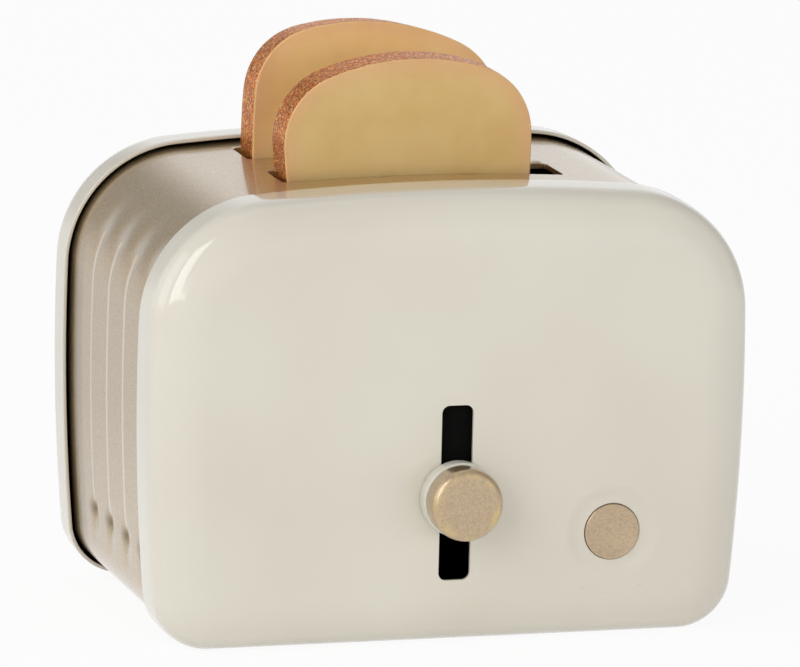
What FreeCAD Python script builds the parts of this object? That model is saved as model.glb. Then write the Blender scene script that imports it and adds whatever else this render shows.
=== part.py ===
import FreeCAD, Part
import math
import os
import re

import Sketcher

# A doll's-house toaster of painted tinplate: two pressed covers with a band between them, a friction
# lever on the front that lifts two slices of toast, and a sprung push button.
# Origin: middle of the whole toaster on the surface it stands on. +X to the right, +Y to the back, +Z up.

# Driving dimensions in millimetres, and degrees where the name says angle.
SIZES = {
    # covers: a pan with bowed top and sides, a straight skirt and a rounded edge
    "cover_width": 81.0,
    "cover_height": 60.0,
    "cover_widest": 34.0,
    "cover_side_bow": 310.0,
    "cover_top_bow": 300.0,
    "cover_top_corner": 16.5,
    "cover_bottom_corner": 7.5,
    "cover_skirt": 4.5,
    "cover_edge": 5.0,
    "cover_sheet": 0.6,
    # band between the covers
    "band_shown": 40.0,
    "band_inset": 1.0,
    "band_sheet": 0.7,
    "band_seat_gap": 0.1,
    "seam_width": 0.3,
    "seam_plate_width": 13.0,
    "seam_plate_sheet": 0.7,
    "seam_rivet_offset": 3.6,
    "seam_rivet_pitch": 10.5,
    "crease_pitch": 8.5,
    "crease_shift": 4.2,
    "crease_depth": 0.35,
    "crease_round": 0.9,
    "crease_dimple": 0.2,
    "crease_low": 11.6,
    "crease_high": 48.5,
    # bread slots and toast
    "bread_slot_length": 38.4,
    "bread_slot_width": 8.5,
    "bread_slot_corner": 0.8,
    "bread_slot_pitch": 17.4,
    "bread_slot_offset": 0.55,
    "bread_slot_setback": 3.0,
    "toast_width": 33.8,
    "toast_widest": 27.0,
    "toast_side_bow": 90.0,
    "toast_top_bow": 32.0,
    "toast_top_corner": 9.4,
    "toast_bottom_corner": 3.0,
    "toast_thickness": 6.2,
    "toast_edge": 0.5,
    "toast_seat_gap": 0.1,
    "front_toast_height": 35.5,
    "front_toast_offset": 1.2,
    "front_toast_angle": -2.5,
    "rear_toast_height": 36.4,
    "rear_toast_offset": 1.25,
    "rear_toast_angle": 6.3,
    "rear_toast_tilt": 5.0,
    # lever: slot, knob and what it moves
    "lever_slot_length": 23.2,
    "lever_slot_width": 4.2,
    "lever_slot_corner": 1.0,
    "lever_slot_height": 20.5,
    "knob_height": 20.0,
    "knob_diameter": 9.6,
    "knob_length": 3.7,
    "knob_edge": 1.0,
    "knob_bore_depth": 2.5,
    "washer_diameter": 9.9,
    "washer_thickness": 2.2,
    "slide_gap": 0.1,
    "stem_diameter": 3.6,
    "stem_end": 0.6,
    "thread_gap": 0.05,
    "wave_washer_diameter": 8.6,
    "wave_washer_sheet": 0.5,
    "slider_width": 14.0,
    "slider_sheet": 1.0,
    "slider_below": 4.9,
    "slider_above": 18.0,
    "nut_width": 6.4,
    "nut_height": 2.4,
    "rail_width": 3.0,
    "rail_grip": 1.2,
    "rail_back": 1.2,
    "rail_overrun": 0.7,
    "rail_side_gap": 0.2,
    # carrier and cradles
    "cradle_rise": 18.1,
    "cradle_length": 34.0,
    "cradle_offset": 1.0,
    "cradle_height": 4.0,
    "cradle_side_gap": 0.5,
    "cradle_sheet": 0.6,
    "arm_width": 11.0,
    "arm_sheet": 1.0,
    "arm_flange": 9.0,
    "arm_rivet_offset": 3.2,
    # button, its dish and its bridge
    "bridge_rail_gap": 2.5,
    "button_height": 14.4,
    "button_diameter": 7.4,
    "button_sunk": 0.3,
    "button_hollow": 0.45,
    "button_rim": 0.4,
    "button_gap": 0.08,
    "button_flange_diameter": 9.0,
    "button_flange": 0.6,
    "button_flange_gap": 0.1,
    "dish_diameter": 12.2,
    "dish_floor_diameter": 9.6,
    "dish_depth": 0.8,
    "button_stem_diameter": 2.4,
    "clip_diameter": 4.6,
    "clip_thickness": 0.7,
    "clip_gap": 0.1,
    "bridge_reach": 6.2,
    "bridge_span": 15.2,
    "bridge_foot": 1.8,
    "bridge_width": 7.0,
    "bridge_sheet": 0.8,
    "spring_diameter": 4.8,
    "spring_wire": 0.5,
    "spring_turns": 4.0,
    "spring_seat_gap": 0.1,
    # tie posts, screws and rivets
    "post_side_margin": 9.2,
    "post_low_margin": 7.6,
    "post_high_margin": 14.0,
    "post_diameter": 4.0,
    "screw_diameter": 2.4,
    "screw_length": 6.0,
    "screw_hole_gap": 0.1,
    "screw_head_diameter": 5.0,
    "screw_head": 1.0,
    "screw_recess": 0.55,
    "screw_cross_width": 0.7,
    "screw_cross_length": 3.2,
    "rivet_diameter": 1.6,
    "rivet_head_diameter": 2.8,
    "rivet_head": 0.5,
    "rivet_gap": 0.05,
}

CREASES = 4
SEAM_RIVETS_IN_A_ROW = 4
FLATNESS = 0.0001
TURN_TO_Y = FreeCAD.Rotation(FreeCAD.Vector(1, 0, 0), -90)
PLACES = {"x": "Placement.Base.x", "y": "Placement.Base.y", "z": "Placement.Base.z"}

doc = FreeCAD.newDocument("Toaster")
sheet = doc.addObject("Spreadsheet::Sheet", "Sizes")
for row, (alias, number) in enumerate(SIZES.items(), start=1):
    sheet.set(f"A{row}", alias.replace("_", " "))
    sheet.set(f"B{row}", str(number))
    sheet.setAlias(f"B{row}", alias)
doc.recompute()

# Places that several pieces share, as expressions on the sheet.
knob_reach = "(slide_gap + washer_thickness + knob_length)"
body_depth = "(band_shown + 2 * (cover_skirt + cover_edge))"
face = f"(({knob_reach} - {body_depth} - screw_head) / 2)"
inner_face = f"({face} + cover_sheet)"
rear = f"({face} + {body_depth})"
middle = f"({face} + {body_depth} / 2)"
front_slot = "(bread_slot_setback - bread_slot_pitch / 2)"
rear_slot = "(bread_slot_setback + bread_slot_pitch / 2)"
slot_plane = "(cover_height - band_inset)"
slider_front = f"({inner_face} + slide_gap + wave_washer_sheet)"
slider_back = f"({slider_front} + slider_sheet)"
nut_back = f"({slider_back} + nut_height)"
cradle_floor = "(knob_height + cradle_rise)"
arm_top = f"({cradle_floor} - cradle_sheet)"
arm_bottom = f"({arm_top} - arm_sheet)"
cradle_inside = "(toast_thickness + 2 * cradle_side_gap)"
cradle_outside = f"({cradle_inside} + 2 * cradle_sheet)"
front_cradle_place = front_slot
tilted_length = f"({slot_plane} - {cradle_floor} - cradle_height / 2)"
rear_cradle_place = f"({rear_slot} - tan(rear_toast_tilt) * {tilted_length})"
cradle_places = (front_cradle_place, rear_cradle_place)
bridge_front = f"({inner_face} + bridge_reach)"
bridge_back = f"({bridge_front} + bridge_sheet)"
flange_front = f"({inner_face} + dish_depth + button_flange_gap)"
flange_back = f"({flange_front} + button_flange)"
clip_front = f"({bridge_back} + clip_gap)"
rail_start = "(slider_width / 2 - rail_grip)"
bridge_outer = "(bridge_span / 2 + bridge_sheet)"
button_x = f"({rail_start} + rail_width + bridge_rail_gap + bridge_foot + {bridge_outer})"
knob_back = f"({face} - slide_gap - washer_thickness)"
stem_hole = "(stem_diameter + 2 * thread_gap)"
rivet_hole = "(rivet_diameter + 2 * rivet_gap)"


def on_sheet(expression):
    """An expression with each size's name turned into a reference to its cell."""
    return re.sub(r"[a-z_]+", lambda m: f"Sizes.{m[0]}" if m[0] in SIZES else m[0], expression)


def bind(thing, **expressions):
    for name, expression in expressions.items():
        thing.setExpression(PLACES.get(name, name), on_sheet(expression))
    return thing


def box(x, y, z):
    """A box between a low and a high expression on each axis."""
    block = doc.addObject("Part::Box", "Block")
    for (low, high), size, place in zip((x, y, z), ("Length", "Width", "Height"), "xyz"):
        bind(block, **{size: f"({high}) - ({low})", place: low})
    return block


def rod(diameter, along, x="0", y="0", z="0"):
    """An upright rod between two heights."""
    low, high = along
    bar = doc.addObject("Part::Cylinder", "Rod")
    bind(bar, Radius=f"({diameter}) / 2", Height=f"({high}) - ({low})", x=x)
    return bind(bar, y=y, z=low)


def rod_y(diameter, along, x="0", z="0"):
    """A rod that runs straight back, between two places on Y."""
    low, high = along
    bar = doc.addObject("Part::Cylinder", "Rod")
    bar.Placement = FreeCAD.Placement(FreeCAD.Vector(), TURN_TO_Y)
    bind(bar, Radius=f"({diameter}) / 2", Height=f"({high}) - ({low})")
    return bind(bar, x=x, y=low, z=z)


def join(pieces, name="Joined"):
    whole = doc.addObject("Part::MultiFuse", name)
    whole.Shapes = pieces
    return whole


def cut(base, tools, name="Cut"):
    result = doc.addObject("Part::Cut", name)
    result.Base = base
    result.Tool = tools[0] if len(tools) == 1 else join(tools, "Tools")
    return result


def group(pieces, name):
    whole = doc.addObject("Part::Compound", name)
    whole.Links = pieces
    return whole


def total(names):
    """The sum of some sizes, as a number and as an expression."""
    return sum(SIZES[name] for name in names), " + ".join(names) if names else "0"


def plane_sketch(body, name, role):
    sketch = body.newObject("Sketcher::SketchObject", name)
    plane = next(feature for feature in body.Origin.OriginFeatures if feature.Role == role)
    sketch.AttachmentSupport = [(plane, "")]
    sketch.MapMode = "FlatFace"
    return sketch


def rule(sketch, label, expression, value, kind, *where):
    """A dimension of a sketch, driven by an expression on the sheet."""
    index = sketch.addConstraint(Sketcher.Constraint(kind, *where, value))
    sketch.renameConstraint(index, label)
    sketch.setExpression(f"Constraints.{label}", on_sheet(expression))


def arc(centre, radius, start, end):
    circle = Part.Circle(FreeCAD.Vector(*centre, 0), FreeCAD.Vector(0, 0, 1), radius)
    return Part.ArcOfCircle(circle, start, end)


def heading(centre, point):
    return math.atan2(point[1] - centre[1], point[0] - centre[0])


def corner_centre(side, side_reach, top, top_reach):
    """Where the circles about the side's and the top's centres cross, at the upper right."""
    across, up = top[0] - side[0], top[1] - side[1]
    apart = math.hypot(across, up)
    along = (side_reach**2 - top_reach**2 + apart**2) / (2 * apart)
    off = math.sqrt(side_reach**2 - along**2)
    return (
        side[0] + (across * along - up * off) / apart,
        side[1] + (up * along + across * off) / apart,
    )


def outline_sketch(body, name, kind, inset=(), height="cover_height"):
    """The closed outline of a cover, the band or a slice: flat below, and bowed at the sides and the top."""
    shape = {part: SIZES[f"{kind}_{part}"] for part in ("width", "widest", "side_bow", "top_bow")}
    shape |= {part: SIZES[f"{kind}_{part}"] for part in ("top_corner", "bottom_corner")}
    inset_value, inset_words = total(inset)
    side_reach = shape["side_bow"] - shape["bottom_corner"]
    side = (shape["width"] / 2 - shape["side_bow"], shape["widest"])
    top = (0.0, SIZES[height] - shape["top_bow"])
    reaches = [shape[bow] - shape["top_corner"] for bow in ("side_bow", "top_bow")]
    high = corner_centre(side, reaches[0], top, reaches[1])
    drop = shape["widest"] - shape["bottom_corner"]
    low = (side[0] + math.sqrt(side_reach**2 - drop**2), shape["bottom_corner"])
    side_low, side_high, top_right = heading(side, low), heading(side, high), heading(top, high)

    rounded = ("bottom_corner", "side_bow", "top_corner", "top_bow")
    radii = {part: shape[part] - inset_value for part in rounded}
    mirror = lambda point: (-point[0], point[1])
    sketch = plane_sketch(body, name, "XZ_Plane")
    foot_left = FreeCAD.Vector(-low[0], inset_value, 0)
    foot_right = FreeCAD.Vector(low[0], inset_value, 0)
    sketch.addGeometry(Part.LineSegment(foot_left, foot_right), False)
    for part, centre, start, end in (
        ("bottom_corner", low, -math.pi / 2, side_low),
        ("side_bow", side, side_low, side_high),
        ("top_corner", high, side_high, top_right),
        ("top_bow", top, top_right, math.pi - top_right),
        ("top_corner", mirror(high), math.pi - top_right, math.pi - side_high),
        ("side_bow", mirror(side), math.pi - side_high, math.pi - side_low),
        ("bottom_corner", mirror(low), math.pi - side_low, 3 * math.pi / 2),
    ):
        index = sketch.addGeometry(arc(centre, radii[part], start, end), False)
        words = f"{kind}_{part} - ({inset_words})"
        rule(sketch, f"radius{index}", words, radii[part], "Radius", index)
    for index in range(8):
        sketch.addConstraint(Sketcher.Constraint("Tangent", index, 2, (index + 1) % 8, 1))

    sketch.addConstraint(Sketcher.Constraint("Horizontal", 0))
    sketch.addConstraint(Sketcher.Constraint("PointOnObject", 4, 3, -2))
    rule(sketch, "lowCorner", f"{kind}_bottom_corner", shape["bottom_corner"], "DistanceY", -1, 1, 1, 3)
    for index, ends in ((2, (2, 3, -1, 1)), (6, (-1, 1, 6, 3))):
        words = f"{kind}_side_bow - {kind}_width / 2"
        rule(sketch, f"sideAcross{index}", words, -side[0], "DistanceX", *ends)
        rule(sketch, f"sideUp{index}", f"{kind}_widest", side[1], "DistanceY", -1, 1, index, 3)
    if top[1] < 0:
        rule(sketch, "topDown", f"{kind}_top_bow - {height}", -top[1], "DistanceY", 4, 3, -1, 1)
    else:
        rule(sketch, "topUp", f"{height} - {kind}_top_bow", top[1], "DistanceY", -1, 1, 4, 3)
    return sketch


def pad(body, name, sketch, length):
    feature = body.newObject("PartDesign::Pad", name)
    feature.Profile = sketch
    bind(feature, Length=length)
    doc.recompute()
    return feature


def pocket(body, name, sketch, length, forward=False):
    """A pocket that has to take something away: forward cuts along the sketch's normal."""
    before = body.Shape.Volume
    feature = body.newObject("PartDesign::Pocket", name)
    feature.Profile = sketch
    feature.Reversed = forward
    bind(feature, Length=length)
    doc.recompute()
    if body.Shape.Volume >= before:
        raise RuntimeError(f"{body.Label}: {name} cuts nothing")
    return feature


def round_edges(body, base, name, radius, depth):
    """Fillets the base feature's edges that lie wholly in the plane Y = -depth of the body."""
    flat = [
        f"Edge{number}"
        for number, edge in enumerate(base.Shape.Edges, start=1)
        if edge.BoundBox.YLength < FLATNESS and abs(edge.BoundBox.YMin + depth) < FLATNESS
    ]
    feature = body.newObject("PartDesign::Fillet", name)
    feature.Base = (base, flat)
    bind(feature, Radius=radius)
    doc.recompute()
    return feature


def slot_sketch(body, name, role, long_way, length, width, corner, centre):
    """A rectangle with rounded corners: its long side lies along the sketch's x, or along its y."""
    across, along = (length, width) if long_way == "x" else (width, length)
    half_x = SIZES[across] / 2 - SIZES[corner]
    half_y = SIZES[along] / 2 - SIZES[corner]
    radius = SIZES[corner]
    (mid_x, words_x), (mid_y, words_y) = centre
    sketch = plane_sketch(body, name, role)
    turns = ((1, -1), (1, 1), (-1, 1), (-1, -1))
    centres = [(mid_x + sx * half_x, mid_y + sy * half_y) for sx, sy in turns]
    for index, (cx, cy) in enumerate(centres):
        start = -math.pi / 2 + index * math.pi / 2
        end = start + math.pi / 2
        sketch.addGeometry(arc((cx, cy), radius, start, end), False)
        nx, ny = centres[(index + 1) % 4]
        out_x, out_y = radius * math.cos(end), radius * math.sin(end)
        leave = FreeCAD.Vector(cx + out_x, cy + out_y, 0)
        arrive = FreeCAD.Vector(nx + out_x, ny + out_y, 0)
        sketch.addGeometry(Part.LineSegment(leave, arrive), False)
    for index in range(8):
        sketch.addConstraint(Sketcher.Constraint("Tangent", index, 2, (index + 1) % 8, 1))
    for index, direction in ((1, "Vertical"), (3, "Horizontal"), (5, "Vertical"), (7, "Horizontal")):
        sketch.addConstraint(Sketcher.Constraint(direction, index))
    for index in (0, 2, 4, 6):
        rule(sketch, f"radius{index}", corner, radius, "Radius", index)
    rule(sketch, "acrossSize", f"{across} - 2 * {corner}", 2 * half_x, "DistanceX", 4, 3, 2, 3)
    rule(sketch, "alongSize", f"{along} - 2 * {corner}", 2 * half_y, "DistanceY", 0, 3, 2, 3)
    words_x = f"({words_x}) + {across} / 2 - {corner}"
    words_y = f"({words_y}) + {along} / 2 - {corner}"
    rule(sketch, "middleX", words_x, mid_x + half_x, "DistanceX", -1, 1, 2, 3)
    rule(sketch, "middleY", words_y, mid_y + half_y, "DistanceY", -1, 1, 2, 3)
    return sketch


def pan(name, inset, depth, edge):
    """A solid pan with its free edge at Y = 0; its depth and rounded edge are less by the inset."""
    body = doc.addObject("PartDesign::Body", name)
    less, words = total(inset)
    outline = outline_sketch(body, "Outline", "cover", inset)
    solid = pad(body, "Depth", outline, f"{' + '.join(depth)} - ({words})")
    round_edges(body, solid, "Edge", f"{edge} - ({words})", total(depth)[0] - less)
    return body


def cover_shell(name, turn=0):
    """A pressed cover: its outside less its inside, turned about Z and moved to its free edge."""
    depth = ["cover_skirt", "cover_edge"]
    outside = pan(f"{name}Outside", [], depth, "cover_edge")
    inside = pan(f"{name}Inside", ["cover_sheet"], depth, "cover_edge")
    free_edge = f"{rear} - cover_skirt - cover_edge" if turn else f"{face} + cover_skirt + cover_edge"
    for shell in (outside, inside):
        shell.Placement = FreeCAD.Placement(FreeCAD.Vector(), FreeCAD.Rotation(FreeCAD.Vector(0, 0, 1), turn))
        bind(shell, y=free_edge)
    return cut(outside, [inside], name)


def post_places():
    """X and Z of the four tie posts."""
    for side in ("(-1)", "1"):
        for height in ("post_low_margin", "cover_height - post_high_margin"):
            yield f"{side} * (cover_width / 2 - post_side_margin)", height


def lever_slot():
    """What the lever's slot takes out of the front cover."""
    body = doc.addObject("PartDesign::Body", "LeverSlot")
    slot_middle = ((0.0, "0"), (SIZES["lever_slot_height"], "lever_slot_height"))
    sizes = ("lever_slot_length", "lever_slot_width", "lever_slot_corner")
    outline = slot_sketch(body, "SlotOutline", "XZ_Plane", "y", *sizes, slot_middle)
    pad(body, "SlotDepth", outline, "3 * cover_sheet")
    return bind(body, y=f"{face} + 2 * cover_sheet")


def front_cover():
    body = cover_shell("FrontPan")
    dish = []
    for behind in ("cover_sheet", "0"):
        cone = doc.addObject("Part::Cone", "DishCone")
        cone.Placement = FreeCAD.Placement(FreeCAD.Vector(), TURN_TO_Y)
        bind(cone, Radius1=f"dish_diameter / 2 + {behind}", Radius2=f"dish_floor_diameter / 2 + {behind}")
        bind(cone, Height="dish_depth", x=button_x, y=f"{face} + {behind}", z="button_height")
        dish.append(cone)
    boss, hollow = dish
    cap_hole = rod_y("button_diameter + 2 * button_gap", (face, flange_front), button_x, "button_height")
    return cut(join([body, boss]), [hollow, cap_hole, lever_slot()], "FrontCover")


def rear_cover():
    body = cover_shell("RearPan", 180)
    hole = "screw_diameter + 2 * screw_hole_gap"
    through = (f"{rear} - 2 * cover_sheet", f"{rear} + cover_sheet")
    holes = [rod_y(hole, through, x, z) for x, z in post_places()]
    return cut(body, holes, "RearCover")


def crease_cutters(side):
    """The pressed creases of one side: each follows the bow of the band and ends in a dimple."""
    bow = "(cover_side_bow - band_inset - crease_depth + crease_round)"
    hub = "(cover_width / 2 - cover_side_bow)"
    rings, dimples = [], []
    for number in range(CREASES):
        place = f"{middle} - crease_shift + crease_pitch * {number - (CREASES - 1) / 2}"
        ring = doc.addObject("Part::Torus", "Crease")
        ring.Placement = FreeCAD.Placement(FreeCAD.Vector(), TURN_TO_Y)
        bind(ring, Radius1=bow, Radius2="crease_round", x=f"({side}) * {hub}", y=place, z="cover_widest")
        rings.append(ring)
        for height in ("crease_low", "crease_high"):
            dimple = doc.addObject("Part::Sphere", "Dimple")
            out = f"({side}) * ({hub} + sqrt({bow} ^ 2 - ({height} - cover_widest) ^ 2))"
            bind(dimple, Radius="crease_round + crease_dimple", x=out, y=place, z=height)
            dimples.append(dimple)
    kept = doc.addObject("Part::MultiCommon", "Creases")
    span = ("0", "cover_width") if side > 0 else ("-cover_width", "0")
    kept.Shapes = [group(rings, "Rings"), box(span, (face, rear), ("crease_low", "crease_high"))]
    return [kept, *dimples]


def seam_rivet_places():
    """X and Y of the rivets of the seam."""
    for side in ("(-1)", "1"):
        for number in range(SEAM_RIVETS_IN_A_ROW):
            shift = number - (SEAM_RIVETS_IN_A_ROW - 1) / 2
            yield f"{side} * seam_rivet_offset", f"{middle} + seam_rivet_pitch * {shift}"


def band_slot(shift):
    """What a bread slot takes out of the band's top."""
    body = doc.addObject("PartDesign::Body", "BreadSlot")
    slot_middle = ((0.0, "0"), (0.0, "0"))
    sizes = ("bread_slot_length", "bread_slot_width", "bread_slot_corner")
    outline = slot_sketch(body, "SlotOutline", "XY_Plane", "x", *sizes, slot_middle)
    pad(body, "SlotDepth", outline, "cover_height")
    return bind(body, x="bread_slot_offset", y=f"{middle} + {shift}", z="cover_height / 2")


def body_band():
    body = doc.addObject("PartDesign::Body", "BandTube")
    # Each end of the band seats in the rounded edge inside a cover.
    rounding = "(cover_edge - cover_sheet)"
    step = "(band_inset - cover_sheet)"
    reach = f"(cover_skirt + sqrt(2 * {rounding} * {step} - {step} ^ 2) - band_seat_gap)"
    length = f"(band_shown + 2 * {reach})"
    pad(body, "Outside", outline_sketch(body, "OutsideOutline", "cover", ["band_inset"]), length)
    inside = outline_sketch(body, "InsideOutline", "cover", ["band_inset", "band_sheet"])
    pocket(body, "Inside", inside, f"{length} + band_sheet", forward=True)
    bind(body, y=f"{middle} + {length} / 2")

    low = ("0", "band_inset + 2 * band_sheet")
    tools = [band_slot(front_slot), band_slot(rear_slot)]
    tools += [box(("-seam_width / 2", "seam_width / 2"), (face, rear), low)]
    tools += [rod(rivet_hole, low, x, y) for x, y in seam_rivet_places()]
    tools += crease_cutters(1) + crease_cutters(-1)
    return cut(body, tools, "BodyBand")


def rivet(x, y, along, heads=("low", "high")):
    """An upright rivet: a shank between two expressions, with a head outside each end that is named."""
    low, high = along
    pieces = [rod("rivet_diameter", along, x, y)]
    if "low" in heads:
        pieces.append(rod("rivet_head_diameter", (f"{low} - rivet_head", low), x, y))
    if "high" in heads:
        pieces.append(rod("rivet_head_diameter", (high, f"{high} + rivet_head"), x, y))
    return join(pieces, "Rivet")


def seam_plate():
    low = "(band_inset + band_sheet)"
    across = ("-seam_plate_width / 2", "seam_plate_width / 2")
    high = f"{low} + seam_plate_sheet"
    plate = box(across, (f"{face} + cover_edge", f"{rear} - cover_edge"), (low, high))
    return cut(plate, [rod(rivet_hole, (low, high), x, y) for x, y in seam_rivet_places()], "SeamPlate")


def seam_rivets():
    along = ("band_inset", "band_inset + band_sheet + seam_plate_sheet")
    return group([rivet(x, y, along) for x, y in seam_rivet_places()], "SeamRivets")


def tie_posts():
    posts = []
    hole = "screw_diameter + 2 * rivet_gap"
    back = f"({rear} - cover_sheet)"
    for x, z in post_places():
        post = rod_y("post_diameter", (inner_face, back), x, z)
        posts.append(cut(post, [rod_y(hole, (f"{back} - screw_length", rear), x, z)], "Post"))
    return group(posts, "TiePosts")


def cover_screws():
    screws = []
    for x, z in post_places():
        shank = rod_y("screw_diameter", (f"{rear} - screw_length", rear), x, z)
        head = rod_y("screw_head_diameter", (rear, f"{rear} + screw_head"), x, z)
        sunk = (f"{rear} + screw_head - screw_recess", f"{rear} + 2 * screw_head")
        long_x = (f"{x} - screw_cross_length / 2", f"{x} + screw_cross_length / 2")
        long_z = (f"{z} - screw_cross_length / 2", f"{z} + screw_cross_length / 2")
        thin_x = (f"{x} - screw_cross_width / 2", f"{x} + screw_cross_width / 2")
        thin_z = (f"{z} - screw_cross_width / 2", f"{z} + screw_cross_width / 2")
        cross = [box(long_x, sunk, thin_z), box(thin_x, sunk, long_z)]
        screws.append(cut(join([shank, head]), cross, "Screw"))
    return group(screws, "CoverScrews")


def guide_rail(side):
    """A channel on the front cover's inside that holds one edge of the slider plate."""
    groove_end = "slider_width / 2 + rail_side_gap"
    height = (
        "lever_slot_height - lever_slot_length / 2 + stem_diameter / 2 - slider_below - rail_overrun",
        "lever_slot_height + lever_slot_length / 2 - stem_diameter / 2 + slider_above + rail_overrun",
    )
    spans = [(rail_start, f"{rail_start} + rail_width"), (f"{rail_start} - rail_grip", groove_end)]
    if side < 0:
        spans = [(f"-({high})", f"-({low})") for low, high in spans]
    rail = box(spans[0], (inner_face, f"{slider_back} + slide_gap + rail_back"), height)
    groove = box(spans[1], (f"{slider_front} - slide_gap", f"{slider_back} + slide_gap"), height)
    return cut(rail, [groove], "GuideRail")


def button_bridge():
    """A bracket behind the button: its plate guides the stem and stops the spring."""
    half = "(bridge_span / 2)"
    outer = bridge_outer
    foot = f"({outer} + bridge_foot)"
    up = ("button_height - bridge_width / 2", "button_height + bridge_width / 2")
    side = button_x
    pieces = [box((f"{side} - {outer}", f"{side} + {outer}"), (bridge_front, bridge_back), up)]
    for low, high in ((f"{side} - {outer}", f"{side} - {half}"), (f"{side} + {half}", f"{side} + {outer}")):
        pieces.append(box((low, high), (inner_face, bridge_back), up))
    for low, high in ((f"{side} - {foot}", f"{side} - {half}"), (f"{side} + {half}", f"{side} + {foot}")):
        pieces.append(box((low, high), (inner_face, f"{inner_face} + bridge_sheet"), up))
    hole = rod_y("button_stem_diameter + 2 * button_gap", (bridge_front, bridge_back), side, "button_height")
    return cut(join(pieces), [hole], "ButtonBridge")


def disc_sketch(body, name, diameter):
    sketch = plane_sketch(body, name, "XZ_Plane")
    radius = SIZES[diameter] / 2
    sketch.addGeometry(Part.Circle(FreeCAD.Vector(), FreeCAD.Vector(0, 0, 1), radius), False)
    sketch.addConstraint(Sketcher.Constraint("Coincident", 0, 3, -1, 1))
    rule(sketch, "radius0", f"{diameter} / 2", radius, "Radius", 0)
    return sketch


def lever_knob():
    body = doc.addObject("PartDesign::Body", "KnobBody")
    knob = pad(body, "KnobLength", disc_sketch(body, "KnobOutline", "knob_diameter"), "knob_length")
    round_edges(body, knob, "KnobEdge", "knob_edge", SIZES["knob_length"])
    bind(body, y=knob_back, z="knob_height")
    bore = rod_y(stem_hole, (f"{knob_back} - knob_bore_depth", knob_back), z="knob_height")
    return cut(body, [bore], "LeverKnob")


def ring(diameter, hole, along, x, z, name):
    return cut(rod_y(diameter, along, x, z), [rod_y(hole, along, x, z)], name)


def knob_washer():
    along = (knob_back, f"{face} - slide_gap")
    return ring("washer_diameter", stem_hole, along, "0", "knob_height", "KnobWasher")


def wave_washer():
    along = (f"{inner_face} + slide_gap", slider_front)
    return ring("wave_washer_diameter", stem_hole, along, "0", "knob_height", "WaveWasher")


def lever_stem():
    along = (f"{knob_back} - knob_bore_depth + thread_gap", f"{nut_back} + stem_end")
    return rod_y("stem_diameter", along, z="knob_height")


def stem_nut():
    nut = doc.addObject("Part::Prism", "Hexagon")
    nut.Placement = FreeCAD.Placement(FreeCAD.Vector(), TURN_TO_Y)
    nut.Polygon = 6
    bind(nut, Circumradius="nut_width / sqrt(3)", Height="nut_height", y=slider_back, z="knob_height")
    return cut(nut, [rod_y(stem_hole, (slider_back, nut_back), z="knob_height")], "StemNut")


def arm_rivet_places():
    return [(f"{side} * arm_rivet_offset", f"{arm_top} - arm_flange / 2") for side in ("(-1)", "1")]


def cradle_rivet_places(place):
    return [(f"{side} * arm_rivet_offset", f"{middle} + {place}") for side in ("(-1)", "1")]


def slider_plate():
    across = ("-slider_width / 2", "slider_width / 2")
    up = ("knob_height - slider_below", "knob_height + slider_above")
    holes = [rod_y(stem_hole, (slider_front, slider_back), z="knob_height")]
    holes += [rod_y(rivet_hole, (slider_front, slider_back), x, z) for x, z in arm_rivet_places()]
    return cut(box(across, (slider_front, slider_back), up), holes, "SliderPlate")


def carrier_arm():
    """An angle: its flange is riveted to the slider plate, and its arm runs back under both cradles."""
    across = ("-arm_width / 2", "arm_width / 2")
    flange_end = f"({slider_back} + arm_sheet)"
    arm_end = f"({middle} + {rear_cradle_place} + {cradle_outside} / 2)"
    flange = box(across, (slider_back, flange_end), (f"{arm_top} - arm_flange", arm_top))
    arm = box(across, (slider_back, arm_end), (arm_bottom, arm_top))
    holes = [rod_y(rivet_hole, (slider_back, flange_end), x, z) for x, z in arm_rivet_places()]
    for place in cradle_places:
        holes += [rod(rivet_hole, (arm_bottom, arm_top), x, y) for x, y in cradle_rivet_places(place)]
    return cut(join([flange, arm]), holes, "CarrierArm")


def arm_rivets():
    end = f"({slider_back} + arm_sheet)"
    rivets = []
    for x, z in arm_rivet_places():
        shank = rod_y("rivet_diameter", (slider_front, end), x, z)
        rivets.append(join([shank, rod_y("rivet_head_diameter", (end, f"{end} + rivet_head"), x, z)]))
    return group(rivets, "ArmRivets")


def cradle_rivets():
    rivets = []
    for place in cradle_places:
        rivets += [rivet(x, y, (arm_bottom, cradle_floor), ["low"]) for x, y in cradle_rivet_places(place)]
    return group(rivets, "CradleRivets")


def cradle(place, name):
    """The channel that a slice stands in, open at both ends."""
    centre = f"({middle} + {place})"
    across = ("-cradle_length / 2 - cradle_offset", "cradle_length / 2 - cradle_offset")
    outside = (f"{centre} - {cradle_outside} / 2", f"{centre} + {cradle_outside} / 2")
    inside = (f"{centre} - {cradle_inside} / 2", f"{centre} + {cradle_inside} / 2")
    channel = box(across, outside, (arm_top, f"{arm_top} + cradle_height"))
    hollow = box(across, inside, (cradle_floor, f"{cradle_floor} + cradle_height"))
    holes = [rod(rivet_hole, (arm_top, cradle_floor), x, y) for x, y in cradle_rivet_places(place)]
    return cut(channel, [hollow, *holes], name)


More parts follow.
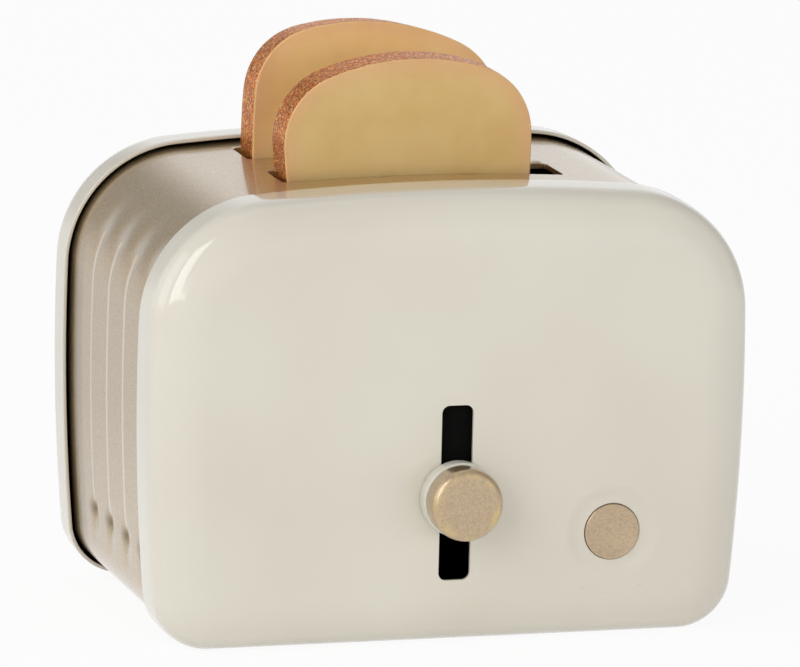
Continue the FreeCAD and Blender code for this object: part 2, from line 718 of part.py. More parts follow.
def toast(name, slot, kind, tilt="0"):
    """A slice on one bottom corner in its cradle: it leans sideways, and may tilt back in its slot."""
    body = doc.addObject("PartDesign::Body", name)
    outline = outline_sketch(body, "SliceOutline", "toast", height=f"{kind}_height")
    slice_pad = pad(body, "Slice", outline, "toast_thickness")
    front = round_edges(body, slice_pad, "FrontEdge", "toast_edge", SIZES["toast_thickness"])
    round_edges(body, front, "BackEdge", "toast_edge", 0)
    lean = f"{kind}_angle"
    corner = "toast_bottom_corner"
    corner_out = (
        "(toast_width / 2 - toast_side_bow"
        f" + sqrt((toast_side_bow - {corner}) ^ 2 - (toast_widest - {corner}) ^ 2))"
    )
    lift = f"({corner_out} * abs(sin({lean})) + {corner} * (1 - cos({lean})))"
    foot = f"({cradle_floor} + toast_seat_gap + cos({tilt}) * {lift})"
    above = f"({slot_plane} - {foot})"
    x = f"-{kind}_offset - tan({lean}) / cos({tilt}) * {above}"
    y = f"{middle} + {slot} + toast_thickness / 2 / cos({tilt}) - tan({tilt}) * {above}"
    turn = f"rotation(vector(1; 0; 0); -{tilt}) * rotation(vector(0; 1; 0); {lean})"
    return bind(body, Placement=f"placement(vector({x}; {y}; {foot}); {turn})")


def button_cap():
    """A cap with a hollow front and a flange behind the dish's floor."""
    front = f"({face} + button_sunk)"
    reach = "(button_diameter / 2 - button_rim)"
    bowl_radius = f"(({reach} ^ 2 + button_hollow ^ 2) / (2 * button_hollow))"
    cap = rod_y("button_diameter", (front, flange_back), button_x, "button_height")
    flange = rod_y("button_flange_diameter", (flange_front, flange_back), button_x, "button_height")
    bowl = doc.addObject("Part::Sphere", "Bowl")
    bowl_middle = f"{front} + button_hollow - {bowl_radius}"
    bind(bowl, Radius=bowl_radius, x=button_x, y=bowl_middle, z="button_height")
    return cut(join([cap, flange]), [bowl], "ButtonCap")


def button_stem():
    along = (flange_back, f"{clip_front} + clip_thickness + stem_end")
    return rod_y("button_stem_diameter", along, button_x, "button_height")


def button_clip():
    along = (clip_front, f"{clip_front} + clip_thickness")
    hole = "button_stem_diameter + 2 * thread_gap"
    return ring("clip_diameter", hole, along, button_x, "button_height", "ButtonClip")


def button_spring():
    coil = doc.addObject("Part::Helix", "Coil")
    height = f"({bridge_front} - {flange_back} - spring_wire - 2 * spring_seat_gap)"
    bind(coil, Pitch=f"{height} / spring_turns", Height=height, Radius="(spring_diameter - spring_wire) / 2")
    wire = doc.addObject("Part::Circle", "Wire")
    wire.Placement = FreeCAD.Placement(FreeCAD.Vector(), FreeCAD.Rotation(FreeCAD.Vector(1, 0, 0), 90))
    bind(wire, Radius="spring_wire / 2", x="(spring_diameter - spring_wire) / 2")
    doc.recompute()
    spring = doc.addObject("Part::Sweep", "ButtonSpring")
    spring.Sections = [wire]
    spring.Spine = (coil, [f"Edge{number + 1}" for number in range(len(coil.Shape.Edges))])
    spring.Solid = True
    spring.Frenet = True
    spring.Placement = FreeCAD.Placement(FreeCAD.Vector(), TURN_TO_Y)
    seat = f"{flange_back} + spring_wire / 2 + spring_seat_gap"
    return bind(spring, x=button_x, y=seat, z="button_height")


def make_pieces():
    return {
        "front_cover": front_cover(),
        "rear_cover": rear_cover(),
        "body_band": body_band(),
        "seam_plate": seam_plate(),
        "seam_rivets": seam_rivets(),
        "tie_posts": tie_posts(),
        "cover_screws": cover_screws(),
        "left_guide_rail": guide_rail(-1),
        "right_guide_rail": guide_rail(1),
        "button_bridge": button_bridge(),
        "lever_knob": lever_knob(),
        "knob_washer": knob_washer(),
        "lever_stem": lever_stem(),
        "wave_washer": wave_washer(),
        "slider_plate": slider_plate(),
        "stem_nut": stem_nut(),
        "carrier_arm": carrier_arm(),
        "arm_rivets": arm_rivets(),
        "front_cradle": cradle(front_cradle_place, "FrontCradle"),
        "rear_cradle": cradle(rear_cradle_place, "RearCradle"),
        "cradle_rivets": cradle_rivets(),
        "front_toast": toast("FrontToast", front_slot, "front_toast"),
        "rear_toast": toast("RearToast", rear_slot, "rear_toast", "rear_toast_tilt"),
        "button_cap": button_cap(),
        "button_stem": button_stem(),
        "button_clip": button_clip(),
        "button_spring": button_spring(),
    }


def check(pieces):
    """Stops if any object failed to compute, or a piece has no sound solid."""
    for thing in doc.Objects:
        if {"Invalid", "Error"} & set(thing.State):
            raise RuntimeError(f"{thing.Name} ({thing.Label}) did not compute: {thing.State}")
    for label, piece in pieces.items():
        shape = piece.Shape
        if shape.isNull() or not shape.isValid() or not shape.Solids:
            raise RuntimeError(f"{label} has no valid solid")


toaster = make_pieces()
for label, piece in toaster.items():
    piece.Label = label
doc.recompute()
check(toaster)
os.makedirs("parts", exist_ok=True)
for label, piece in toaster.items():
    piece.Shape.exportStep(f"parts/{label}.step")
    print(f"{label}: {len(piece.Shape.Solids)} solid(s), {piece.Shape.Volume:.2f} mm3")
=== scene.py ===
import math

import bmesh
import bpy
from mathutils import Matrix, Vector, geometry, noise


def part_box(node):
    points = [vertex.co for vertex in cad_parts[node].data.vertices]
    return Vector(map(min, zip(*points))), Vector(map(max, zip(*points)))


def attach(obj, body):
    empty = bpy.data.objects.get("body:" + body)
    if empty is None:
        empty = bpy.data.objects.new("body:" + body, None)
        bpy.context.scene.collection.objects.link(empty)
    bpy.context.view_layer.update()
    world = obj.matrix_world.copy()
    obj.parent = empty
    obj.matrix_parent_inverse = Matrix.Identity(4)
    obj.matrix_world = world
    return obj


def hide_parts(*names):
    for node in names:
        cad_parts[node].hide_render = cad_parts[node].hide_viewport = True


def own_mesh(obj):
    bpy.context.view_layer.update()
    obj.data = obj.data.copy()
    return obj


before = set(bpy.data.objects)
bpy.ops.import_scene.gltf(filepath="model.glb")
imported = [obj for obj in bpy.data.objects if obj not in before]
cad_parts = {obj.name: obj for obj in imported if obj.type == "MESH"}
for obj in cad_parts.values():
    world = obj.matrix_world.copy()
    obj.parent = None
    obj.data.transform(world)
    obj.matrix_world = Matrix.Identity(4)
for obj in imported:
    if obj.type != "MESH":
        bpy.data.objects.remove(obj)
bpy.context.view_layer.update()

mm = 0.001
weld = 0.002 * mm       # points nearer than this become one
pinpoint = 0.001 * mm   # the radius that closes the middle of a turned profile
print("frame loaded:", len(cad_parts), "nodes")


# colours are written as they look, 0 to 255
def tint(red, green, blue):
    def linear(part):
        part /= 255
        return part / 12.92 if part <= 0.04045 else ((part + 0.055) / 1.055) ** 2.4
    return (linear(red), linear(green), linear(blue), 1.0)


def makeMaterial(name):
    material = bpy.data.materials.new(name)
    material.use_nodes = True
    material.node_tree.nodes.clear()
    return material


# a socket takes another node's output or a plain value
def feed(material, socket, value):
    if isinstance(value, bpy.types.NodeSocket):
        material.node_tree.links.new(value, socket)
    else:
        socket.default_value = value


# one node, with its sockets set or linked
def addNode(material, kind, inputs=None, **settings):
    made = material.node_tree.nodes.new(kind)
    for name, value in settings.items():
        setattr(made, name, value)
    for name, value in (inputs or {}).items():
        feed(material, made.inputs[name], value)
    return made


def objectPoint(material):
    return addNode(material, "ShaderNodeTexCoord").outputs["Object"]


# noise whose features are about size metres across
def grain(material, point, size, detail=2.0, roughness=0.5):
    inputs = {"Vector": point, "Scale": 1 / size, "Detail": detail, "Roughness": roughness}
    return addNode(material, "ShaderNodeTexNoise", inputs).outputs[0]


def cells(material, point, size):
    return addNode(material, "ShaderNodeTexVoronoi", {"Vector": point, "Scale": 1 / size})


def ramp(material, factor, stops):
    made = addNode(material, "ShaderNodeValToRGB", {"Fac": factor})
    band = made.color_ramp
    while len(band.elements) < len(stops):
        band.elements.new(0.5)
    for element, (place, colour) in zip(band.elements, stops):
        element.position = place
        element.color = colour if isinstance(colour, tuple) else (colour, colour, colour, 1)
    return made.outputs["Color"]


def calculate(material, operation, first, second=0.0):
    made = addNode(material, "ShaderNodeMath", operation=operation)
    for socket, value in zip(made.inputs, (first, second)):
        feed(material, socket, value)
    return made.outputs[0]


def mixColours(material, factor, first, second, blendType="MIX"):
    made = addNode(material, "ShaderNodeMix", data_type="RGBA", blend_type=blendType)
    for socket, value in zip((made.inputs[0], made.inputs[6], made.inputs[7]), (factor, first, second)):
        feed(material, socket, value)
    return made.outputs[2]


def vectorMath(material, operation, *values):
    return addNode(material, "ShaderNodeVectorMath", dict(enumerate(values)), operation=operation).outputs


def bump(material, height, distance, strength=1.0):
    inputs = {"Height": height, "Distance": distance, "Strength": strength}
    return addNode(material, "ShaderNodeBump", inputs).outputs["Normal"]


def surface(material, **sockets):
    names = {name: name for name in ("Metallic", "Roughness", "Normal")}
    names |= {"Colour": "Base Color", "Coat": "Coat Weight", "CoatRoughness": "Coat Roughness"}
    names |= {"Subsurface": "Subsurface Weight", "SubsurfaceScale": "Subsurface Scale"}
    names |= {"SubsurfaceRadius": "Subsurface Radius", "Specular": "Specular IOR Level"}
    inputs = {names[key]: value for key, value in sockets.items()}
    shader = addNode(material, "ShaderNodeBsdfPrincipled", inputs)
    addNode(material, "ShaderNodeOutputMaterial", {"Surface": shader.outputs[0]})
    return material


# off-white stoved enamel on the covers
enamel = {
    "colour": tint(224, 219, 204),
    "cloud": tint(220, 213, 198),
    "cloudSize": 30 * mm,
    "peelSize": 1.8 * mm,
    "peel": 0.003 * mm,
    "dustSize": 0.8 * mm,
    "dustPatch": 5 * mm,
    "dust": tint(196, 186, 164),
    "glossSize": 9 * mm,
    "gloss": (0.1, 0.15),
}


def coverEnamel():
    material = makeMaterial("coverEnamel")
    point = objectPoint(material)
    cloud = ramp(material, grain(material, point, enamel["cloudSize"]), [(0.35, 0.0), (0.65, 1.0)])
    colour = mixColours(material, cloud, enamel["colour"], enamel["cloud"])
    specks = cells(material, point, enamel["dustSize"]).outputs["Distance"]
    rare = grain(material, point, enamel["dustPatch"])
    dust = calculate(material, "MULTIPLY", ramp(material, specks, [(0.03, 1.0), (0.07, 0.0)]),
                     ramp(material, rare, [(0.62, 0.0), (0.66, 0.4)]))
    colour = mixColours(material, dust, colour, enamel["dust"])
    glossy, satin = enamel["gloss"]
    gloss = ramp(material, grain(material, point, enamel["glossSize"], 3.0), [(0.3, glossy), (0.7, satin)])
    peel = bump(material, grain(material, point, enamel["peelSize"]), enamel["peel"])
    return surface(material, Colour=colour, Roughness=gloss, Normal=peel, Coat=0.7, CoatRoughness=0.03)


# champagne metallic paint with a fine grain
champagne = {
    "band": (tint(182, 157, 117), tint(198, 175, 137), tint(162, 136, 96)),
    "fitting": (tint(188, 165, 134), tint(200, 177, 148), tint(173, 150, 119)),
    "flakeSize": 0.15 * mm,
    "mottleSize": 1.1 * mm,
    "flakeHeight": 0.006 * mm,
    "fleckSize": 1.3 * mm,
    "fleck": tint(150, 112, 70),
    "grainSize": 0.5 * mm,
    "gloss": (0.3, 0.36),
    # colours of the painted highlight on the band's creases, the painted shade in its dents and beside the
    # rear cover, and the golden painted highlight on the knob's edge
    "paintedHighlight": tint(240, 230, 216),
    "paintedShade": tint(98, 78, 46),
    "golden": tint(222, 196, 122),
    "goldenSize": 2.2 * mm,
}


def champagnePaint(name, colours):
    middle, light, dark = colours
    material = makeMaterial(name)
    point = objectPoint(material)
    flakes = cells(material, point, champagne["flakeSize"]).outputs["Color"]
    flake = addNode(material, "ShaderNodeSeparateColor", {"Color": flakes}).outputs[0]
    mottle = grain(material, point, champagne["mottleSize"], 4.0, 0.65)
    colour = ramp(material, flake, [(0.0, dark), (0.35, middle), (0.7, middle), (1.0, light)])
    clouded = ramp(material, mottle, [(0.3, 0.96), (0.7, 1.03)])
    colour = mixColours(material, 1.0, colour, clouded, "MULTIPLY")
    flecks = cells(material, point, champagne["fleckSize"])
    pick = addNode(material, "ShaderNodeSeparateColor", {"Color": flecks.outputs["Color"]}).outputs[1]
    spot = ramp(material, flecks.outputs["Distance"], [(0.05, 1.0), (0.1, 0.0)])
    fleck = calculate(material, "MULTIPLY", spot, ramp(material, pick, [(0.86, 0.0), (0.88, 0.6)]))
    colour = mixColours(material, fleck, colour, champagne["fleck"])
    height = calculate(material, "ADD", flake, grain(material, point, champagne["grainSize"], 3.0))
    normal = bump(material, height, champagne["flakeHeight"], 0.7)
    glossy, satin = champagne["gloss"]
    gloss = ramp(material, mottle, [(0.3, glossy), (0.7, satin)])
    return material, colour, gloss, normal


# pale painted highlights along the folds and above them, painted shade in the dents at their feet and in the
# strip beside the rear cover
def bandPaint():
    material, colour, gloss, normal = champagnePaint("bandPaint", champagne["band"])
    paintedHighlight = addNode(material, "ShaderNodeAttribute", attribute_name="paintedHighlight").outputs["Fac"]
    paintedHighlight = calculate(material, "MULTIPLY", paintedHighlight, 0.75)
    colour = mixColours(material, paintedHighlight, colour, champagne["paintedHighlight"])
    paintedShade = addNode(material, "ShaderNodeAttribute", attribute_name="paintedShade").outputs["Fac"]
    colour = mixColours(material, calculate(material, "MULTIPLY", paintedShade, 0.8), colour, champagne["paintedShade"])
    return surface(material, Colour=colour, Metallic=0.78, Roughness=gloss, Normal=normal,
                   Coat=0.85, CoatRoughness=0.09)


# the same paint on knob and button; on the knob a golden ring painted over its rounded edge, in patches, is a
# painted highlight
def fittingPaint(name, axis, paintedHighlight):
    material, colour, gloss, normal = champagnePaint(name, champagne["fitting"])
    if paintedHighlight:
        inner, outer = paintedHighlight
        point = objectPoint(material)
        away = vectorMath(material, "SUBTRACT", point, axis)[0]
        flat = vectorMath(material, "MULTIPLY", away, (1, 0, 1))[0]
        reach = calculate(material, "DIVIDE", vectorMath(material, "LENGTH", flat)["Value"], outer)
        ring = ramp(material, reach, [(inner / outer, 0.0), (0.5 + 0.5 * inner / outer, 1.0), (1.0, 0.2)])
        patches = grain(material, point, champagne["goldenSize"], 3.0)
        patchy = ramp(material, patches, [(0.42, 0.05), (0.7, 0.7)])
        paintedLight = calculate(material, "MULTIPLY", ring, patchy)
        colour = mixColours(material, paintedLight, colour, champagne["golden"])
    return surface(material, Colour=colour, Metallic=0.7, Roughness=gloss, Normal=normal,
                   Coat=0.8, CoatRoughness=0.06)


# near black on the inside of the sheets: painted shade, so that the slots look dark inside
black = {"dark": tint(5, 5, 5), "light": tint(10, 9, 8), "cloudSize": 2 * mm}


def paintedShadeBlack():
    material = makeMaterial("paintedShadeBlack")
    cloud = grain(material, objectPoint(material), black["cloudSize"])
    colour = ramp(material, cloud, [(0.3, black["dark"]), (0.7, black["light"])])
    return surface(material, Colour=colour, Roughness=0.85, Specular=0.1)


# bright plated steel, drawn lengthways
steel = {
    "dark": tint(150, 149, 146),
    "light": tint(182, 181, 177),
    "gloss": (0.26, 0.42),
    "drawn": (1.0, 1.0, 0.08),
    "scratchSize": 0.25 * mm,
    "scratchDepth": 0.006 * mm,
}


def platedSteel():
    material = makeMaterial("platedSteel")
    point = objectPoint(material)
    drawn = addNode(material, "ShaderNodeMapping", {"Vector": point, "Scale": steel["drawn"]}).outputs[0]
    scratches = grain(material, drawn, steel["scratchSize"], 4.0, 0.6)
    colour = ramp(material, scratches, [(0.3, steel["dark"]), (0.7, steel["light"])])
    glossy, satin = steel["gloss"]
    gloss = ramp(material, scratches, [(0.3, glossy), (0.7, satin)])
    normal = bump(material, scratches, steel["scratchDepth"])
    return surface(material, Colour=colour, Metallic=1.0, Roughness=gloss, Normal=normal)


# the collar's milky plastic, which lets a little light in
nylon = {
    "dark": tint(219, 215, 201),
    "light": tint(226, 223, 211),
    "cloudSize": 1.5 * mm,
    "gloss": (0.26, 0.4),
    "glossSize": 0.7 * mm,
    "lightDepth": 0.6 * mm,
}


def milkyNylon():
    material = makeMaterial("milkyNylon")
    point = objectPoint(material)
    cloud = grain(material, point, nylon["cloudSize"])
    colour = ramp(material, cloud, [(0.3, nylon["dark"]), (0.7, nylon["light"])])
    glossy, satin = nylon["gloss"]
    gloss = ramp(material, grain(material, point, nylon["glossSize"]), [(0.3, glossy), (0.7, satin)])
    return surface(material, Colour=colour, Roughness=gloss, Subsurface=0.3, Coat=0.2,
                   SubsurfaceScale=nylon["lightDepth"], SubsurfaceRadius=(1.0, 0.95, 0.85))


# the cut face of a slice: waxy, a little pinker towards the rim, with small pale marks
bread = {
    "wheat": (tint(216, 180, 115), tint(222, 189, 127), tint(225, 194, 135)),
    # the rear slice's colours, lighter and more orange than the front's; the lightening is painted light that
    # makes up for the shade the front slice casts on it
    "amber": (tint(236, 189, 124), tint(241, 199, 135), tint(243, 204, 143)),
    "rim": tint(224, 177, 130),
    "cloudSize": 9 * mm,
    "markSize": 1.9 * mm,
    "paleMark": tint(224, 198, 152),
    "brownMark": tint(172, 126, 72),
    "crumbSize": 3 * mm,
    "crumbHeight": 0.03 * mm,
    "lightDepth": 1.5 * mm,
}


def breadFace(name, colours):
    material = makeMaterial(name)
    point = objectPoint(material)
    dark, middle, light = colours
    cloud = grain(material, point, bread["cloudSize"], 3.0, 0.55)
    colour = ramp(material, cloud, [(0.3, dark), (0.5, middle), (0.72, light)])
    nearRim = addNode(material, "ShaderNodeAttribute", attribute_name="nearRim").outputs["Fac"]
    blush = calculate(material, "MULTIPLY", nearRim, ramp(material, cloud, [(0.3, 0.9), (0.7, 0.5)]))
    colour = mixColours(material, blush, colour, bread["rim"])
    marks = cells(material, point, bread["markSize"])
    pick = addNode(material, "ShaderNodeSeparateColor", {"Color": marks.outputs["Color"]}).outputs[1]
    spot = ramp(material, marks.outputs["Distance"], [(0.05, 1.0), (0.12, 0.0)])
    pale = calculate(material, "MULTIPLY", spot, ramp(material, pick, [(0.84, 0.0), (0.86, 0.4)]))
    colour = mixColours(material, pale, colour, bread["paleMark"])
    brown = calculate(material, "MULTIPLY", spot, ramp(material, pick, [(0.08, 0.25), (0.1, 0.0)]))
    colour = mixColours(material, brown, colour, bread["brownMark"])
    crumb = grain(material, point, bread["crumbSize"], 4.0, 0.6)
    height = calculate(material, "ADD", crumb, calculate(material, "MULTIPLY", spot, -0.3))
    gloss = ramp(material, grain(material, point, bread["crumbSize"], 3.0), [(0.3, 0.42), (0.7, 0.55)])
    normal = bump(material, height, bread["crumbHeight"], 0.6)
    return surface(material, Colour=colour, Roughness=gloss, Normal=normal, Specular=0.35,
                   Subsurface=0.3, SubsurfaceScale=bread["lightDepth"], SubsurfaceRadius=(1.0, 0.6, 0.3))


# copper glitter brushed on the crust
crust = {
    "flakeSize": 0.21 * mm,
    "flakeHeight": 0.04 * mm,
    "streakSize": 2.5 * mm,
    "colours": [(0.0, tint(108, 46, 14)), (0.18, tint(172, 84, 26)), (0.55, tint(212, 117, 40)),
                (0.82, tint(238, 150, 62)), (0.96, tint(255, 210, 126))],
}


def glitterCrust():
    material = makeMaterial("glitterCrust")
    point = objectPoint(material)
    flakes = cells(material, point, crust["flakeSize"])
    parts = addNode(material, "ShaderNodeSeparateColor", {"Color": flakes.outputs["Color"]})
    colour = ramp(material, parts.outputs[0], crust["colours"])
    streak = grain(material, point, crust["streakSize"], 4.0, 0.65)
    streak = ramp(material, streak, [(0.3, 0.84), (0.7, 1.08)])
    colour = mixColours(material, 1.0, colour, streak, "MULTIPLY")
    gloss = ramp(material, parts.outputs[1], [(0.0, 0.25), (1.0, 0.6)])
    normal = bump(material, parts.outputs[2], crust["flakeHeight"], 0.9)
    return surface(material, Colour=colour, Metallic=0.88, Roughness=gloss, Normal=normal)


# a mesh of points and faces, smooth except where it folds by more than so many degrees
def meshPiece(name, points, faces, materials, fold=40, marks=None):
    mesh = bpy.data.meshes.new(name)
    mesh.from_pydata([tuple(point) for point in points], [], faces)
    for material in materials:
        mesh.materials.append(material)
    if marks:
        mesh.polygons.foreach_set("material_index", marks)
    build = bmesh.new()
    build.from_mesh(mesh)
    bmesh.ops.remove_doubles(build, verts=build.verts, dist=weld)
    loose = [vertex for vertex in build.verts if not vertex.link_faces]
    bmesh.ops.delete(build, geom=loose, context="VERTS")
    for face in build.faces:
        face.smooth = True
    for edge in build.edges:
        edge.smooth = len(edge.link_faces) < 2 or edge.calc_face_angle() < math.radians(fold)
    build.to_mesh(mesh)
    build.free()
    piece = bpy.data.objects.new(name, mesh)
    bpy.context.scene.collection.objects.link(piece)
    return piece


# gives a sheet its thickness, with the second material inside, and rounds its pressed edges
def thicken(piece, sheet, roundness, sharp=55):
    shell = piece.modifiers.new("sheet", "SOLIDIFY")
    shell.thickness = sheet
    shell.offset = -1
    shell.use_even_offset = True
    shell.material_offset = 1
    edge = piece.modifiers.new("pressedEdge", "BEVEL")
    edge.width = roundness
    edge.segments = 3
    edge.limit_method = "ANGLE"
    edge.angle_limit = math.radians(sharp)
    edge.harden_normals = False
    soft = piece.modifiers.new("smoothShading", "WEIGHTED_NORMAL")
    soft.keep_sharp = True


# all faces turn outwards; on an open sheet the face nearest to a known place shows which way that is
def turnOutwards(piece, place=None, outwards=None):
    build = bmesh.new()
    build.from_mesh(piece.data)
    bmesh.ops.recalc_face_normals(build, faces=build.faces)
    if place is not None:
        probe = min(build.faces, key=lambda face: (face.calc_center_median() - place).length)
        if probe.normal.dot(outwards) < 0:
            bmesh.ops.reverse_faces(build, faces=build.faces)
    build.to_mesh(piece.data)
    build.free()
    return piece


# a closed outline of arcs, flat below and bowed at the sides and the top, each point with its outward
# direction; steps are those of the flat, the lower corner, the side, the upper corner and half the top
def outline(shape, inset=0.0, steps=(18, 14, 40, 26, 36)):
    width, height, widest = shape["width"], shape["height"], shape["widest"]
    sideBow, topBow = shape["sideBow"], shape["topBow"]
    topCorner, bottomCorner = shape["topCorner"], shape["bottomCorner"]
    side = Vector((width / 2 - sideBow, widest))
    top = Vector((0, height - topBow))
    apart = top - side
    near, far = sideBow - topCorner, topBow - topCorner
    along = (near**2 - far**2 + apart.length_squared) / (2 * apart.length)
    off = math.sqrt(near**2 - along**2)
    unit = apart.normalized()
    high = side + unit * along + Vector((-unit.y, unit.x)) * off
    across = math.sqrt((sideBow - bottomCorner) ** 2 - (widest - bottomCorner) ** 2)
    low = Vector((side.x + across, bottomCorner))

    def heading(start, end):
        return math.atan2(end.y - start.y, end.x - start.x)

    arcs = (
        (low, bottomCorner, -math.pi / 2, heading(side, low), steps[1]),
        (side, sideBow, heading(side, low), heading(side, high), steps[2]),
        (high, topCorner, heading(side, high), heading(top, high), steps[3]),
        (top, topBow, heading(top, high), math.pi / 2, steps[4]),
    )
    right = [(low.x * step / steps[0], inset, 0.0, -1.0) for step in range(steps[0])]
    for centre, radius, start, end, count in arcs:
        for step in range(count):
            angle = start + (end - start) * step / count
            across, up = math.cos(angle), math.sin(angle)
            right.append((centre.x + (radius - inset) * across, centre.y + (radius - inset) * up, across, up))
    crown = (0.0, height - inset, 0.0, 1.0)
    left = [(-x, z, -across, up) for x, z, across, up in reversed(right[1:])]
    return [*right, crown, *left]


# faces between rings of points that match one to one
def ringFaces(first, count, rings):
    faces = []
    for ring in range(rings - 1):
        start = first + ring * count
        for step in range(count):
            after = (step + 1) % count
            faces.append((start + step, start + after, start + count + after, start + count + step))
    return faces


# triangles on a flat region: loops bound it or are left open in it, and spaced points fill it
def fillRegion(outer, holes, spacing, clear, snap=1e-7, sliver=1e-4):
    loops = [outer, *holes]
    points = [Vector(point) for loop in loops for point in loop]
    edges, start = [], 0
    for loop in loops:
        edges += [(start + step, start + (step + 1) % len(loop)) for step in range(len(loop))]
        start += len(loop)
    bounds = [(min(p[axis] for p in outer), max(p[axis] for p in outer)) for axis in (0, 1)]
    solid = list(points)
    rows = int((bounds[1][1] - bounds[1][0]) / spacing)
    columns = int((bounds[0][1] - bounds[0][0]) / spacing)
    for row in range(1, rows + 1):
        for column in range(1, columns + 1):
            spot = Vector((bounds[0][0] + (column + 0.5 * (row % 2)) * spacing, bounds[1][0] + row * spacing))
            if insideLoop(spot, outer) and not any(insideLoop(spot, hole) for hole in holes):
                if min((spot - other).length_squared for other in solid) > clear**2:
                    points.append(spot)
    found = geometry.delaunay_2d_cdt(points, edges, [], 0, snap, False)
    corners, triangles = found[0], found[2]
    kept = []
    for triangle in triangles:
        first, second, third = (corners[index] for index in triangle)
        middle = (first + second + third) / 3
        if abs((second - first).cross(third - first)) < sliver * spacing**2:   # along a straight edge
            continue
        if insideLoop(middle, outer) and not any(insideLoop(middle, hole) for hole in holes):
            kept.append(tuple(triangle))
    return corners, kept


def insideLoop(point, loop):
    inside = False
    for (ax, ay), (bx, by) in zip(loop, loop[1:] + loop[:1]):
        if (ay > point[1]) != (by > point[1]):
            if point[0] < ax + (point[1] - ay) * (bx - ax) / (by - ay):
                inside = not inside
    return inside


def roundedSlot(centre, length, width, corner, steps=8):
    halfX, halfY = width / 2 - corner, length / 2 - corner
    loop = []
    for turn, (sideX, sideY) in enumerate(((1, 1), (-1, 1), (-1, -1), (1, -1))):
        for step in range(steps + 1):
            angle = (turn + step / steps) * math.pi / 2
            loop.append((centre[0] + sideX * halfX + corner * math.cos(angle),
                         centre[1] + sideY * halfY + corner * math.sin(angle)))
    return loop


def circle(centre, radius, steps=72):
    turns = [2 * math.pi * step / steps for step in range(steps)]
    return [(centre[0] + radius * math.cos(turn), centre[1] + radius * math.sin(turn)) for turn in turns]


def smoothStep(value):
    value = min(max(value, 0.0), 1.0)
    return value * value * (3 - 2 * value)


# turned piece on an axis along Y: the profile is radius and distance towards the back
def turned(name, profile, centre, materials, steps=96, fold=35):
    points = []
    for radius, along in profile:
        for step in range(steps):
            angle = 2 * math.pi * step / steps
            across, up = radius * math.cos(angle), radius * math.sin(angle)
            points.append((centre[0] + across, centre[1] + along, centre[2] + up))
    faces = ringFaces(0, steps, len(profile))
    return turnOutwards(meshPiece(name, points, faces, materials, fold))


# quarter round between two directions, as profile points
def corner(centre, radius, start, end, steps=6):
    turns = [math.radians(start + (end - start) * step / steps) for step in range(steps + 1)]
    return [(centre[0] + radius * math.cos(turn), centre[1] + radius * math.sin(turn)) for turn in turns]


# the angles of a quarter round, from its start to its end
def quarterTurn(steps):
    return [math.pi / 2 * step / steps for step in range(steps + 1)]


def boxMiddle(node):
    low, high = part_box(node)
    return (low + high) / 2


materials = {
    "coverEnamel": coverEnamel(),
    "bandPaint": bandPaint(),
    "paintedShadeBlack": paintedShadeBlack(),
    "platedSteel": platedSteel(),
    "milkyNylon": milkyNylon(),
    "wheatFace": breadFace("wheatFace", bread["wheat"]),
    "amberFace": breadFace("amberFace", bread["amber"]),
    "glitterCrust": glitterCrust(),
}
print("materials made:", len(materials))

# the covers are two pressed pans with a domed face
frontLow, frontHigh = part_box("front_cover")
rearLow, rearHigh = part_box("rear_cover")
middleY = (frontLow.y + rearHigh.y) / 2
cover = {
    "width": frontHigh.x - frontLow.x,
    "height": frontHigh.z,
    "widest": 34 * mm,
    "sideBow": 310 * mm,
    "topBow": 300 * mm,
    "topCorner": 16.5 * mm,
    "bottomCorner": 7.5 * mm,
    "depth": frontHigh.y - frontLow.y,
    "bend": {"skirt": (58 * mm, 0, 5), "side": (8.5 * mm, 0, 21), "front": (11 * mm, 42, 90)},
    "edgeRadius": 4.2 * mm,   # the tightest part of the bend, which opens as the line above says
    "sideDome": 0.4 * mm,   # how far the face falls back at its sides and at its top
    "topDome": 0.3 * mm,
    "domeStart": 3 * mm,
    "sheet": 0.5 * mm,   # leaves room behind the dome for the washer that slides there
    "edgeRound": 0.14 * mm,
    "spacing": 1.4 * mm,   # of the points that fill the face
    "clear": 0.75,   # how much of that spacing they keep away from the edges
    "fold": 60,
}
leverSlot = {"middle": 20.5 * mm, "length": 23.2 * mm, "width": 4.2 * mm, "corner": 1 * mm}
button = {"middle": boxMiddle("button_cap"), "radius": 3.7 * mm, "gap": 0.08 * mm}
dish = {"outer": 6.5 * mm, "floor": 4.5 * mm, "depth": 0.36 * mm, "lip": 0.02 * mm, "lipWidth": 0.9 * mm,
        "blend": 8.2 * mm, "rings": 26}


# radius of the rounded edge where it has turned so many degrees away from the skirt
def bendRadius(degrees):
    radius = cover["edgeRadius"]
    for part, (wide, start, end) in cover["bend"].items():
        share = smoothStep((degrees - start) / (end - start))
        radius += (wide - cover["edgeRadius"]) * (share if part == "front" else 1 - share)
    return radius


# the rounded edge as inset and depth, stepped round from the skirt to the face
def coverEdge(steps=36, fine=5):
    inset, along = 0.0, 0.0
    edge = [(inset, along)]
    step = 90 / (steps * fine)
    for count in range(steps * fine):
        angle = (count + 0.5) * step
        length = bendRadius(angle) * math.radians(step)
        inset += length * math.sin(math.radians(angle))
        along += length * math.cos(math.radians(angle))
        if (count + 1) % fine == 0:
            edge.append((inset, along))
    return [(inset, edge[-1][1] - along) for inset, along in edge]


# how far a point of the face lies behind the face's middle
def domeFall(x, z):
    half = cover["height"] / 2
    return cover["sideDome"] * (x / (cover["width"] / 2)) ** 2 + cover["topDome"] * ((z - half) / half) ** 2


def dishFall(x, z):
    reach = math.hypot(x - button["middle"].x, z - button["middle"].z)
    sink = smoothStep((dish["outer"] - reach) / (dish["outer"] - dish["floor"]))
    return dish["depth"] * sink - dish["lip"] * math.exp(-(((reach - dish["outer"]) / dish["lipWidth"]) ** 2))


